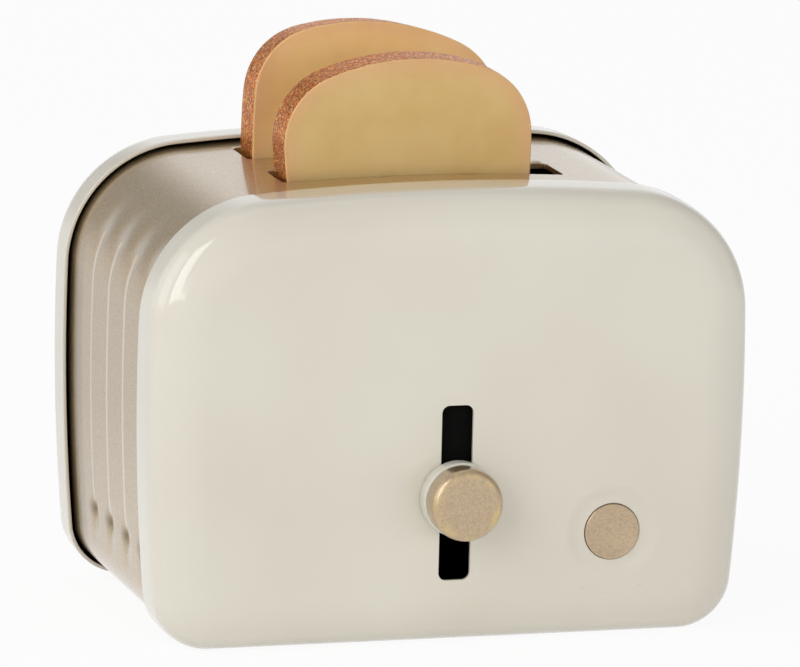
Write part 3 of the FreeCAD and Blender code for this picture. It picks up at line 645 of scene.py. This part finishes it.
def coverShell(name, node, facePlane, towards, openings):
    edge = coverEdge()
    reach, faceInset = edge[0][1], edge[-1][0]
    profile = [(0.0, cover["depth"]), (0.0, (cover["depth"] + reach) / 2), *edge]
    points = []
    for inset, depth in profile:
        domed = smoothStep(inset / cover["domeStart"])
        for x, z, _, _ in outline(cover, inset):
            points.append((x, facePlane - towards * (depth + domed * domeFall(x, z)), z))
    faces = ringFaces(0, len(outline(cover)), len(profile))
    inner = [(x, z) for x, z, _, _ in outline(cover, faceInset)]
    hub = (button["middle"].x, button["middle"].z)
    holes = []
    if openings:
        place = (0, leverSlot["middle"])
        holes = [roundedSlot(place, leverSlot["length"], leverSlot["width"], leverSlot["corner"]),
                 circle(hub, dish["blend"])]
    corners, triangles = fillRegion(inner, holes, cover["spacing"], cover["clear"] * cover["spacing"])
    start = len(points)
    for x, z in corners:
        fall = domeFall(x, z) + (dishFall(x, z) if openings else 0)
        points.append((x, facePlane - towards * fall, z))
    faces += [tuple(start + index for index in triangle) for triangle in triangles]
    if openings:
        start = len(points)
        hole = button["radius"] + button["gap"]
        rings = dish["rings"]
        for ring in range(rings + 1):
            for x, z in circle(hub, dish["blend"] + (hole - dish["blend"]) * ring / rings):
                points.append((x, facePlane - towards * (domeFall(x, z) + dishFall(x, z)), z))
        faces += ringFaces(start, len(circle(hub, hole)), rings + 1)
    piece = meshPiece(name, points, faces, [materials["coverEnamel"], materials["paintedShadeBlack"]],
                      cover["fold"])
    turnOutwards(piece, Vector((0, facePlane, cover["height"] * 0.8)), Vector((0, towards, 0)))
    thicken(piece, cover["sheet"], cover["edgeRound"])
    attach(piece, "housing")
    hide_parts(node)


coverShell("frontCoverShell", "front_cover", frontLow.y, -1, True)
coverShell("rearCoverShell", "rear_cover", rearHigh.y, 1, False)
print("covers made")

# the band between the covers, with its bread slots and its creases
bandLow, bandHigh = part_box("body_band")
band = {
    "inset": 1.0 * mm,
    "sheet": 0.7 * mm,
    "edgeRound": 0.12 * mm,
    "seam": 0.3 * mm,
    "slotLength": 38.4 * mm,
    "slotWidth": 8.5 * mm,
    "slotCorner": 0.8 * mm,
    "slotPitch": 17.4 * mm,
    "slotShift": 0.55 * mm,
    "slotSetback": 3 * mm,
    "reach": 4.6 * mm,     # how far the sheet goes into each cover
    "patch": 22 * mm,      # half width of the stretch that holds the bread slots
    "steps": (18, 14, 120, 60, 36),
    "sideStart": 0.7,      # share of the half width where the creased sides start
    "sideFade": 4 * mm,
    "spacing": 1.2 * mm,
    "topSpacing": 1.6 * mm,
    "topClear": 1.0 * mm,
    "fold": 60,
}
bandStart = frontHigh.y - band["reach"]
bandEnd = rearLow.y + band["reach"]
creaseCount, creasePitch, creaseShift = 4, 8.5 * mm, 4.2 * mm
crease = {
    "places": [middleY - creaseShift + creasePitch * (number - (creaseCount - 1) / 2)
               for number in range(creaseCount)],
    "span": 5 * mm,        # how far from its middle a crease still counts
    "low": 11.6 * mm,
    "high": 48.5 * mm,
    "fold": 0.06 * mm,
    "foldWidth": 0.45 * mm,
    "runOut": 1.2 * mm,
    # dents and pits by depth, width and height
    "dent": {"low": (0.3 * mm, 1.5 * mm, 2.2 * mm), "high": (0.18 * mm, 2.2 * mm, 3.5 * mm)},
    "pit": {"low": (0.4 * mm, 0.55 * mm, 0.9 * mm), "high": (0.12 * mm, 0.3 * mm, 0.6 * mm)},
    "rise": {"low": -0.6 * mm, "high": 1.0 * mm},   # how far each dent lies past the end of its crease
    "near": 1.92 * mm,
    "fine": 0.19 * mm,
    "coarse": 0.46 * mm,
    "coarseSteps": 5,
    "paintedHighlight": 0.4 * mm,    # half width of the painted highlight along each crease
    "paintedShade": (1.0, 1.3 * mm, 1.0 * mm),   # painted shade in the low dents, moved backwards by the next entry: strength, width, height
    "paintedShadeShift": 1.2 * mm,
    "glow": (0.8, 1.8 * mm, 2.2 * mm),   # a painted highlight, pale above each crease
    "glowRise": 1.6 * mm,
}
# a brown strip painted beside the rear cover, which fades out upwards: painted shade standing in for the
# cover's dark inside reflected there
edgeShade = {"width": 6.4 * mm, "fade": 0.5 * mm, "strength": 0.55, "top": (38 * mm, 12 * mm)}


def hollow(across, up, size):
    depth, width, height = size
    return depth * math.exp(-((across / width) ** 2) - (up / height) ** 2)


# how far the band is pressed in at a place on its sides
def creaseDepth(y, z):
    depth = 0.0
    for place in crease["places"]:
        across = y - place
        if abs(across) > crease["span"]:
            continue
        length = smoothStep((z - crease["low"]) / crease["runOut"] + 0.5)
        length *= smoothStep((crease["high"] - z) / crease["runOut"] + 0.5)
        depth += crease["fold"] * math.exp(-((across / crease["foldWidth"]) ** 2)) * length
        for end in ("low", "high"):
            up = z - crease[end]
            dent = hollow(across, up - crease["rise"][end], crease["dent"][end])
            depth += dent + hollow(across, up, crease["pit"][end])
    return depth


# how much painted highlight and how much painted shade the paint gets at a place on the sides
def creasePaintedLight(y, z):
    paintedHighlight, paintedShade = 0.0, 0.0
    for place in crease["places"]:
        length = smoothStep((z - crease["low"]) / crease["runOut"])
        length *= smoothStep((crease["high"] - z) / crease["runOut"])
        paintedHighlight += math.exp(-(((y - place) / crease["paintedHighlight"]) ** 2)) * length
        paintedHighlight += hollow(y - place, z - crease["high"] - crease["glowRise"], crease["glow"])
        paintedShade += hollow(y - place - crease["paintedShadeShift"], z - crease["low"], crease["paintedShade"])
    top, overTop = edgeShade["top"]
    beside = smoothStep((y - rearLow.y + edgeShade["width"]) / edgeShade["fade"])
    beside *= 1 - smoothStep((z - top) / overTop)
    return min(paintedHighlight, 1.0), min(paintedShade + edgeShade["strength"] * beside, 1.0)


# places along the depth of the band, close together at the creases
def bandColumns():
    columns = {bandStart, bandEnd}
    near, fine, coarse = crease["near"], crease["fine"], crease["coarse"]
    for place in crease["places"]:
        columns |= {place + fine * step for step in range(-round(near / fine), round(near / fine) + 1)}
        further = [near + coarse * step for step in range(1, crease["coarseSteps"] + 1)]
        columns |= {place + side * away for away in further for side in (-1, 1)}
    filled = [bandStart]
    for place in sorted(columns)[1:]:
        gap = place - filled[-1]
        if gap < fine / 3:
            continue
        parts = math.ceil(gap / band["spacing"])
        start = filled[-1]
        filled += [start + gap * (part + 1) / parts for part in range(parts)]
    filled[-1] = bandEnd
    return filled


def bodyBand():
    columns = bandColumns()
    rows = outline(cover, band["inset"], band["steps"])
    half = band["seam"] / 2
    rows = [(half, *rows[0][1:])] + rows[1:] + [(-half, *rows[0][1:])]
    sideStart = band["sideStart"] * cover["width"] / 2
    points, faces = [], []
    for x, z, across, up in rows:
        onSide = smoothStep((abs(x) - sideStart) / band["sideFade"])
        for y in columns:
            press = creaseDepth(y, z) * onSide if onSide > 0 else 0.0
            points.append((x - across * press, y, z - up * press))
    inPatch = [index for index, row in enumerate(rows)
               if row[1] > cover["height"] / 2 and abs(row[0]) <= band["patch"]]
    first, last = inPatch[0], inPatch[-1]
    for row in range(len(rows) - 1):
        if first <= row < last:
            continue
        start, after = row * len(columns), (row + 1) * len(columns)
        for step in range(len(columns) - 1):
            faces.append((start + step, start + step + 1, after + step + 1, after + step))
    edge = [(rows[first][0], y) for y in columns]
    edge += [(rows[row][0], columns[-1]) for row in range(first + 1, last)]
    edge += [(rows[last][0], y) for y in reversed(columns)]
    edge += [(rows[row][0], columns[0]) for row in range(last - 1, first, -1)]
    slots = [roundedSlot((band["slotShift"], middleY + band["slotSetback"] + side * band["slotPitch"] / 2),
                         band["slotWidth"], band["slotLength"], band["slotCorner"]) for side in (-1, 1)]
    corners, triangles = fillRegion(edge, slots, band["topSpacing"], band["topClear"])
    topRadius = cover["topBow"] - band["inset"]
    start = len(points)
    hub = cover["height"] - cover["topBow"]
    points += [(x, y, hub + math.sqrt(topRadius**2 - x * x)) for x, y in corners]
    faces += [tuple(start + index for index in triangle) for triangle in triangles]
    paints = [materials["bandPaint"], materials["paintedShadeBlack"]]
    piece = meshPiece("bodyBandSheet", points, faces, paints, band["fold"])
    turnOutwards(piece, Vector((cover["width"] / 2, middleY, cover["widest"])), Vector((1, 0, 0)))
    spots = [vertex.co for vertex in piece.data.vertices]
    paintedLight = [creasePaintedLight(spot.y, spot.z) if abs(spot.x) > sideStart else (0.0, 0.0) for spot in spots]
    for number, name in enumerate(("paintedHighlight", "paintedShade")):
        paintedLayer = piece.data.attributes.new(name, "FLOAT", "POINT")
        paintedLayer.data.foreach_set("value", [levels[number] for levels in paintedLight])
    thicken(piece, band["sheet"], band["edgeRound"])
    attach(piece, "housing")
    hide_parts("body_band")


bodyBand()
print("band made")

# the lever's knob and the collar behind it
# the last entry is how far in from the edge the knob's golden painted highlight reaches
knob = {"length": 3.7 * mm, "edge": (1.15 * mm, 0.95 * mm), "backEdge": 0.25 * mm, "bore": 1.85 * mm,
        "boreDepth": 2.5 * mm, "crown": 0.08 * mm, "paintedHighlight": 1.5 * mm}
washer = {"thickness": 2.2 * mm, "edge": 0.3 * mm}


def leverKnob():
    low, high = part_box("lever_knob")
    centre = (0, low.y, (low.z + high.z) / 2)
    radius = (high.x - low.x) / 2
    inward, back = knob["edge"]
    flat = radius - inward
    face = [(flat * share, knob["crown"] * share**2) for share in (0.001, 0.25, 0.5, 0.7, 0.85, 0.95)]
    front = [(flat + inward * math.sin(turn), knob["crown"] + back * (1 - math.cos(turn)))
             for turn in quarterTurn(12)]
    rear = corner((radius - knob["backEdge"], knob["length"] - knob["backEdge"]), knob["backEdge"], 0, 90)
    bore = [(knob["bore"], knob["length"]), (knob["bore"], knob["length"] - knob["boreDepth"]),
            (pinpoint, knob["length"] - knob["boreDepth"])]
    paint = fittingPaint("knobPaint", centre, (radius - knob["paintedHighlight"], radius))
    piece = turned("leverKnob", [*face, *front, *rear, *bore], centre, [paint], 128)
    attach(piece, "carriage")
    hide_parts("lever_knob")


def knobWasher():
    low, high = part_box("knob_washer")
    centre = (0, low.y, (low.z + high.z) / 2)
    radius, thickness, edge = (high.x - low.x) / 2, washer["thickness"], washer["edge"]
    outer = corner((radius - edge, edge), edge, -90, 0)
    outer += corner((radius - edge, thickness - edge), edge, 0, 90)
    profile = [(knob["bore"], 0.0), *outer, (knob["bore"], thickness), (knob["bore"], 0.0)]
    piece = turned("knobWasher", profile, centre, [materials["milkyNylon"]], 128)
    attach(piece, "carriage")
    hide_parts("knob_washer")


leverKnob()
knobWasher()

# the button's hollow cap; its lip lies so far out from the bowl and so far back from the front
cap = {"edge": 0.2 * mm, "hollow": 0.68 * mm, "rim": 0.3 * mm, "flange": 4.5 * mm, "flangeSheet": 0.6 * mm,
       "lip": (0.06 * mm, 0.03 * mm)}


def buttonCap():
    low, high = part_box("button_cap")
    centre = (button["middle"].x, low.y, button["middle"].z)
    depth = high.y - low.y
    bowl = button["radius"] - cap["rim"]
    shares = (0.001, 0.2, 0.4, 0.55, 0.7, 0.8, 0.88, 0.95)
    face = [(bowl * share, cap["hollow"] * (1 - share**2)) for share in shares]
    out, back = cap["lip"]
    lip = [(bowl, back), (bowl + out, 0.0)]
    radius, edge = button["radius"], cap["edge"]
    front = [(radius - edge + edge * math.sin(turn), edge * (1 - math.cos(turn))) for turn in quarterTurn(5)]
    flange = [(radius, depth - cap["flangeSheet"]), (cap["flange"], depth - cap["flangeSheet"]),
              (cap["flange"], depth), (pinpoint, depth)]
    paint = fittingPaint("buttonPaint", centre, None)
    piece = turned("buttonCap", [*face, *lip, *front, *flange], centre, [paint], 96)
    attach(piece, "button")
    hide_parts("button_cap")


buttonCap()

# the spring behind the button, which closes up as the button goes in
coil = {"turns": 4, "wire": 0.25 * mm, "steps": 40, "around": 10}


def buttonSpring():
    low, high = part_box("button_spring")
    middle = (low + high) / 2
    wire, around = coil["wire"], coil["around"]
    radius = (high.x - low.x) / 2 - wire
    length = high.y - low.y - 2 * wire
    count = coil["turns"] * coil["steps"]
    points = []
    for step in range(count + 1):
        turn = 2 * math.pi * step / coil["steps"]
        outward = Vector((math.cos(turn), 0, math.sin(turn)))
        centre = Vector((middle.x, low.y + wire + length * step / count, middle.z)) + outward * radius
        for part in range(around):
            angle = 2 * math.pi * part / around
            points.append(centre + outward * wire * math.cos(angle) + Vector((0, wire * math.sin(angle), 0)))
    last = count * around
    faces = ringFaces(0, around, count + 1) + [tuple(range(around)), tuple(range(last, last + around))]
    piece = turnOutwards(meshPiece("buttonSpring", points, faces, [materials["platedSteel"]]))
    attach(piece, "button")
    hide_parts("button_spring")
    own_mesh(piece)


buttonSpring()
print("knob and button made")

# the slices of toast, which differ in height, lean and tilt
toast = {
    "width": 33.8 * mm,
    "widest": 27 * mm,
    "sideBow": 90 * mm,
    "topBow": 32 * mm,
    "topCorner": 9.4 * mm,
    "bottomCorner": 3 * mm,
    "thickness": 6.2 * mm,
    "edge": 0.22 * mm,
    "uneven": 0.05 * mm,
    "blush": 3.2 * mm,
    "rimWaves": 3 * mm,    # size of the unevenness on the rim and on the cut faces
    "faceWaves": 5 * mm,
    "spacing": 1.3 * mm,
    "clear": 0.9 * mm,
    "fold": 50,
}
slices = {
    "frontSlice": {"node": "front_toast", "body": "front_slice", "height": 35.5 * mm,
                   "lean": -2.5, "tilt": 0, "seed": 3, "face": "wheatFace"},
    "rearSlice": {"node": "rear_toast", "body": "rear_slice", "height": 36.4 * mm,
                  "lean": 6.3, "tilt": 5, "seed": 11, "face": "amberFace"},
}


def toastSlice(name, cut):
    shape = toast | {"height": cut["height"]}
    half, edge = toast["thickness"] / 2, toast["edge"]
    front = [(edge * (1 - math.sin(turn)), -half + edge * (1 - math.cos(turn))) for turn in quarterTurn(4)]
    rim = [(0.0, share * (half - edge)) for share in (-0.6, -0.2, 0.2, 0.6)]
    profile = [*front, *rim, *((inset, -depth) for inset, depth in reversed(front))]
    count = len(outline(shape))
    points = []
    for inset, depth in profile:
        for x, z, across, up in outline(shape, inset):
            spot = Vector((x, cut["seed"] * 10 * mm + depth, z))
            rough = noise.noise(spot / toast["rimWaves"]) * toast["uneven"]
            points.append((x - across * abs(rough), depth, z - up * abs(rough)))
    faces = ringFaces(0, count, len(profile))
    marks = [0 if abs(depth) > half - edge else 1 for _, depth in profile[1:] for _ in range(count)]
    inner = [(x, z) for x, z, _, _ in outline(shape, edge)]
    corners, triangles = fillRegion(inner, [], toast["spacing"], toast["clear"])
    for side, ring in ((-1, 0), (1, len(profile) - 1)):
        start = len(points)
        for index, (x, z) in enumerate(corners):
            if index < count:
                points.append(points[ring * count + index])
                continue
            wave = noise.noise(Vector((x, z, cut["seed"] * mm)) / toast["faceWaves"]) * toast["uneven"]
            points.append((x, side * (half - abs(wave)), z))
        faces += [tuple(start + index for index in triangle) for triangle in triangles]
        marks += [0] * len(triangles)
    finishes = [materials[cut["face"]], materials["glitterCrust"]]
    piece = meshPiece(name, points, faces, finishes, toast["fold"], marks)
    turnOutwards(piece, Vector((0, -half, cut["height"] / 2)), Vector((0, -1, 0)))
    blush = piece.data.attributes.new("nearRim", "FLOAT", "POINT")
    rimLine = [Vector((x, z)) for x, z, _, _ in outline(shape)]
    for index, vertex in enumerate(piece.data.vertices):
        spot = Vector((vertex.co.x, vertex.co.z))
        away = min((spot - mark).length for mark in rimLine)
        blush.data[index].value = 1 - smoothStep(away / toast["blush"])
    lean, tilt = math.radians(cut["lean"]), math.radians(cut["tilt"])
    piece.data.transform(Matrix.Rotation(-tilt, 4, "X") @ Matrix.Rotation(lean, 4, "Y"))
    spots = [vertex.co for vertex in piece.data.vertices]
    middle = Vector([(min(p[i] for p in spots) + max(p[i] for p in spots)) / 2 for i in range(3)])
    piece.data.transform(Matrix.Translation(boxMiddle(cut["node"]) - middle))
    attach(piece, cut["body"])
    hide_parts(cut["node"])


for name, cut in slices.items():
    toastSlice(name, cut)
print("slices made")

# the screws at the back, with domed heads and a cross recess
screw = {"head": 2.5 * mm, "dome": 1.0 * mm, "brim": 0.25 * mm, "shank": 1.2 * mm, "length": 6 * mm,
         "crossLength": 3.2 * mm, "crossWidth": 0.7 * mm, "crossDepth": 0.55 * mm}


def screwHead(name, centre):
    dome = [(max(screw["head"] * math.sin(turn), pinpoint),
             -screw["brim"] - (screw["dome"] - screw["brim"]) * math.cos(turn)) for turn in quarterTurn(10)]
    shank = [(screw["head"], 0.0), (screw["shank"], 0.0),
             (screw["shank"], screw["length"]), (pinpoint, screw["length"])]
    profile = [(radius, -along) for radius, along in [*dome, *shank]]
    piece = turned(name, profile, centre, [materials["platedSteel"]], 64)
    build = bmesh.new()
    bar = (screw["crossLength"], screw["crossWidth"])
    for wide, tall in (bar, bar[::-1]):
        size = Matrix.Diagonal((wide, 2 * screw["crossDepth"], tall, 1))
        place = Matrix.Translation(Vector(centre) + Vector((0, screw["dome"], 0)))
        bmesh.ops.create_cube(build, size=1, matrix=place @ size)
    cutterMesh = bpy.data.meshes.new("crossCutter")
    build.to_mesh(cutterMesh)
    build.free()
    cutter = bpy.data.objects.new("crossCutter", cutterMesh)
    bpy.context.scene.collection.objects.link(cutter)
    recess = piece.modifiers.new("recess", "BOOLEAN")
    recess.object = cutter
    recess.use_self = True
    bpy.context.view_layer.update()
    carved = bpy.data.meshes.new_from_object(piece.evaluated_get(bpy.context.evaluated_depsgraph_get()))
    piece.modifiers.clear()
    piece.data = carved
    bpy.data.objects.remove(cutter)
    return piece


def coverScrews():
    low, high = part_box("cover_screws")
    heads = []
    for x in (low.x + screw["head"], high.x - screw["head"]):
        for z in (low.z + screw["head"], high.z - screw["head"]):
            heads.append(screwHead("coverScrew", (x, rearHigh.y, z)))
    whole = bmesh.new()
    for head in heads:
        whole.from_mesh(head.data)
    mesh = bpy.data.meshes.new("coverScrews")
    whole.to_mesh(mesh)
    whole.free()
    mesh.materials.append(materials["platedSteel"])
    for head in heads:
        bpy.data.objects.remove(head)
    piece = bpy.data.objects.new("coverScrews", mesh)
    bpy.context.scene.collection.objects.link(piece)
    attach(piece, "housing")
    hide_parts("cover_screws")


coverScrews()
print("screws made")

# what stays as the frame has it gets its finish here
# the slider plate and its rails take the near-black painted shade, so that the lever slot looks dark
blackNodes = ("slider_plate", "left_guide_rail", "right_guide_rail")
for name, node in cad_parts.items():
    if node.hide_render:
        continue
    finish = materials["paintedShadeBlack" if name in blackNodes else "platedSteel"]
    for place in node.material_slots:
        place.material = finish

# the stage is a white floor that keeps a soft shadow, and white air with three dimmer stretches
floor = {"half": 1.5, "colour": 0.93, "lift": 0.93, "behind": 0.55, "fade": (0.02, 0.13)}
air = {
    "light": 0.75,
    # where each stretch lies, and its brightness at two nearnesses to that direction
    "dim": [((-0.23, 0.94, 0.26), (0.93, 1.0), (0.985, 0.4)), ((0.85, 0.10, 0.42), (0.62, 1.0), (0.92, 0.45)),
            ((0, 0, 1), (0.25, 1.0), (0.85, 0.55))],
}


# 1 for what the camera sees directly, in a gloss or through clear stuff
def seenAsBackground(material):
    path = addNode(material, "ShaderNodeLightPath").outputs
    mirrored = calculate(material, "MAXIMUM", path["Is Glossy Ray"], path["Is Transmission Ray"])
    return path["Is Camera Ray"], mirrored


def makeFloor():
    material = makeMaterial("floorPaper")
    paper = addNode(material, "ShaderNodeBsdfDiffuse", {"Color": (floor["colour"],) * 3 + (1,)})
    glow = addNode(material, "ShaderNodeEmission", {"Color": (1, 1, 1, 1), "Strength": 1.0})
    direct, mirrored = seenAsBackground(material)
    back = addNode(material, "ShaderNodeSeparateXYZ", {"Vector": objectPoint(material)}).outputs["Y"]
    start, end = floor["fade"]
    back = calculate(material, "DIVIDE", calculate(material, "SUBTRACT", back, start), end - start)
    fading = ramp(material, back, [(0.0, 1.0), (1.0, floor["behind"])])
    mirrored = calculate(material, "MULTIPLY", mirrored, fading)
    share = calculate(material, "MULTIPLY", calculate(material, "MAXIMUM", direct, mirrored), floor["lift"])
    mixed = addNode(material, "ShaderNodeMixShader", {0: share, 1: paper.outputs[0], 2: glow.outputs[0]})
    addNode(material, "ShaderNodeOutputMaterial", {"Surface": mixed.outputs[0]})
    half = floor["half"]
    square = [(-half, -half, 0), (half, -half, 0), (half, half, 0), (-half, half, 0)]
    ground = meshPiece("floor", square, [(0, 1, 2, 3)], [material])


def makeAir():
    world = bpy.data.worlds.new("studio")
    bpy.context.scene.world = world
    world.use_nodes = True
    world.node_tree.nodes.clear()
    direct, mirrored = seenAsBackground(world)
    direction = addNode(world, "ShaderNodeTexCoord").outputs["Generated"]
    level = calculate(world, "MULTIPLY_ADD", mirrored, 1 - air["light"])
    level.node.inputs[2].default_value = air["light"]
    for towards, bright, dim in air["dim"]:
        aim = Vector(towards).normalized()
        near = vectorMath(world, "DOT_PRODUCT", direction, aim)["Value"]
        level = calculate(world, "MULTIPLY", level, ramp(world, near, [bright, dim]))
    level = calculate(world, "MAXIMUM", level, direct)
    light = addNode(world, "ShaderNodeBackground", {"Color": (1, 1, 1, 1), "Strength": level})
    addNode(world, "ShaderNodeOutputWorld", {"Surface": light.outputs[0]})


makeFloor()
makeAir()

lamps = {
    "tallLeft": {"place": (-0.66, -0.68, 0.46), "size": (0.44, 0.70), "power": 2.75},
    "lowFront": {"place": (0.70, -1.10, 0.15), "size": (2.0, 0.30), "power": 3.3, "mirrored": False},
    "leftWall": {"place": (-1.10, 0.10, 0.50), "size": (1.0, 0.8), "power": 2.3},
    "above": {"place": (-0.1, 0.15, 1.1), "size": (0.8, 0.8), "power": 0.7},
}


def makeLamps():
    for name, lamp in lamps.items():
        data = bpy.data.lights.new(name, "AREA")
        data.shape = "RECTANGLE"
        data.size, data.size_y = lamp["size"]
        data.energy = lamp["power"]
        lampObject = bpy.data.objects.new(name, data)
        place = Vector(lamp["place"])
        aim = Vector((0, 0, cover["height"] / 2)) - place
        facing = aim.to_track_quat("-Z", "Y").to_matrix().to_4x4()
        lampObject.matrix_world = Matrix.Translation(place) @ facing
        lampObject.visible_glossy = lamp.get("mirrored", True)   # a fill that no gloss shows
        bpy.context.scene.collection.objects.link(lampObject)


makeLamps()

camera = {
    "azimuth": -16.39,
    "elevation": 11.37,
    "roll": 1.28,
    "distance": 1062.7 * mm,
    "lens": 360,
    "sensor": 36,
    "across": 0.707 * mm,
    "up": 5.62 * mm,
}


def makeCamera():
    azimuth, elevation, roll = (math.radians(camera[key]) for key in ("azimuth", "elevation", "roll"))
    level = math.cos(elevation)
    back = Vector((math.sin(azimuth) * level, -math.cos(azimuth) * level, math.sin(elevation)))
    right = Vector((math.cos(azimuth), math.sin(azimuth), 0))
    up = back.cross(right)
    across = right * math.cos(roll) + up * math.sin(roll)
    above = up * math.cos(roll) - right * math.sin(roll)
    aim = Vector((0, middleY, cover["height"] / 2))
    place = aim + back * camera["distance"] + across * camera["across"] + above * camera["up"]
    data = bpy.data.cameras.new("camera")
    data.lens = camera["lens"]
    data.sensor_width = camera["sensor"]
    data.clip_start = 0.01
    cameraObject = bpy.data.objects.new("camera", data)
    facing = Matrix((across, above, back)).transposed().to_4x4()
    cameraObject.matrix_world = Matrix.Translation(place) @ facing
    bpy.context.scene.collection.objects.link(cameraObject)
    bpy.context.scene.camera = cameraObject


makeCamera()
bpy.context.scene.view_settings.view_transform = "Standard"
print("stage, lamps and camera made")
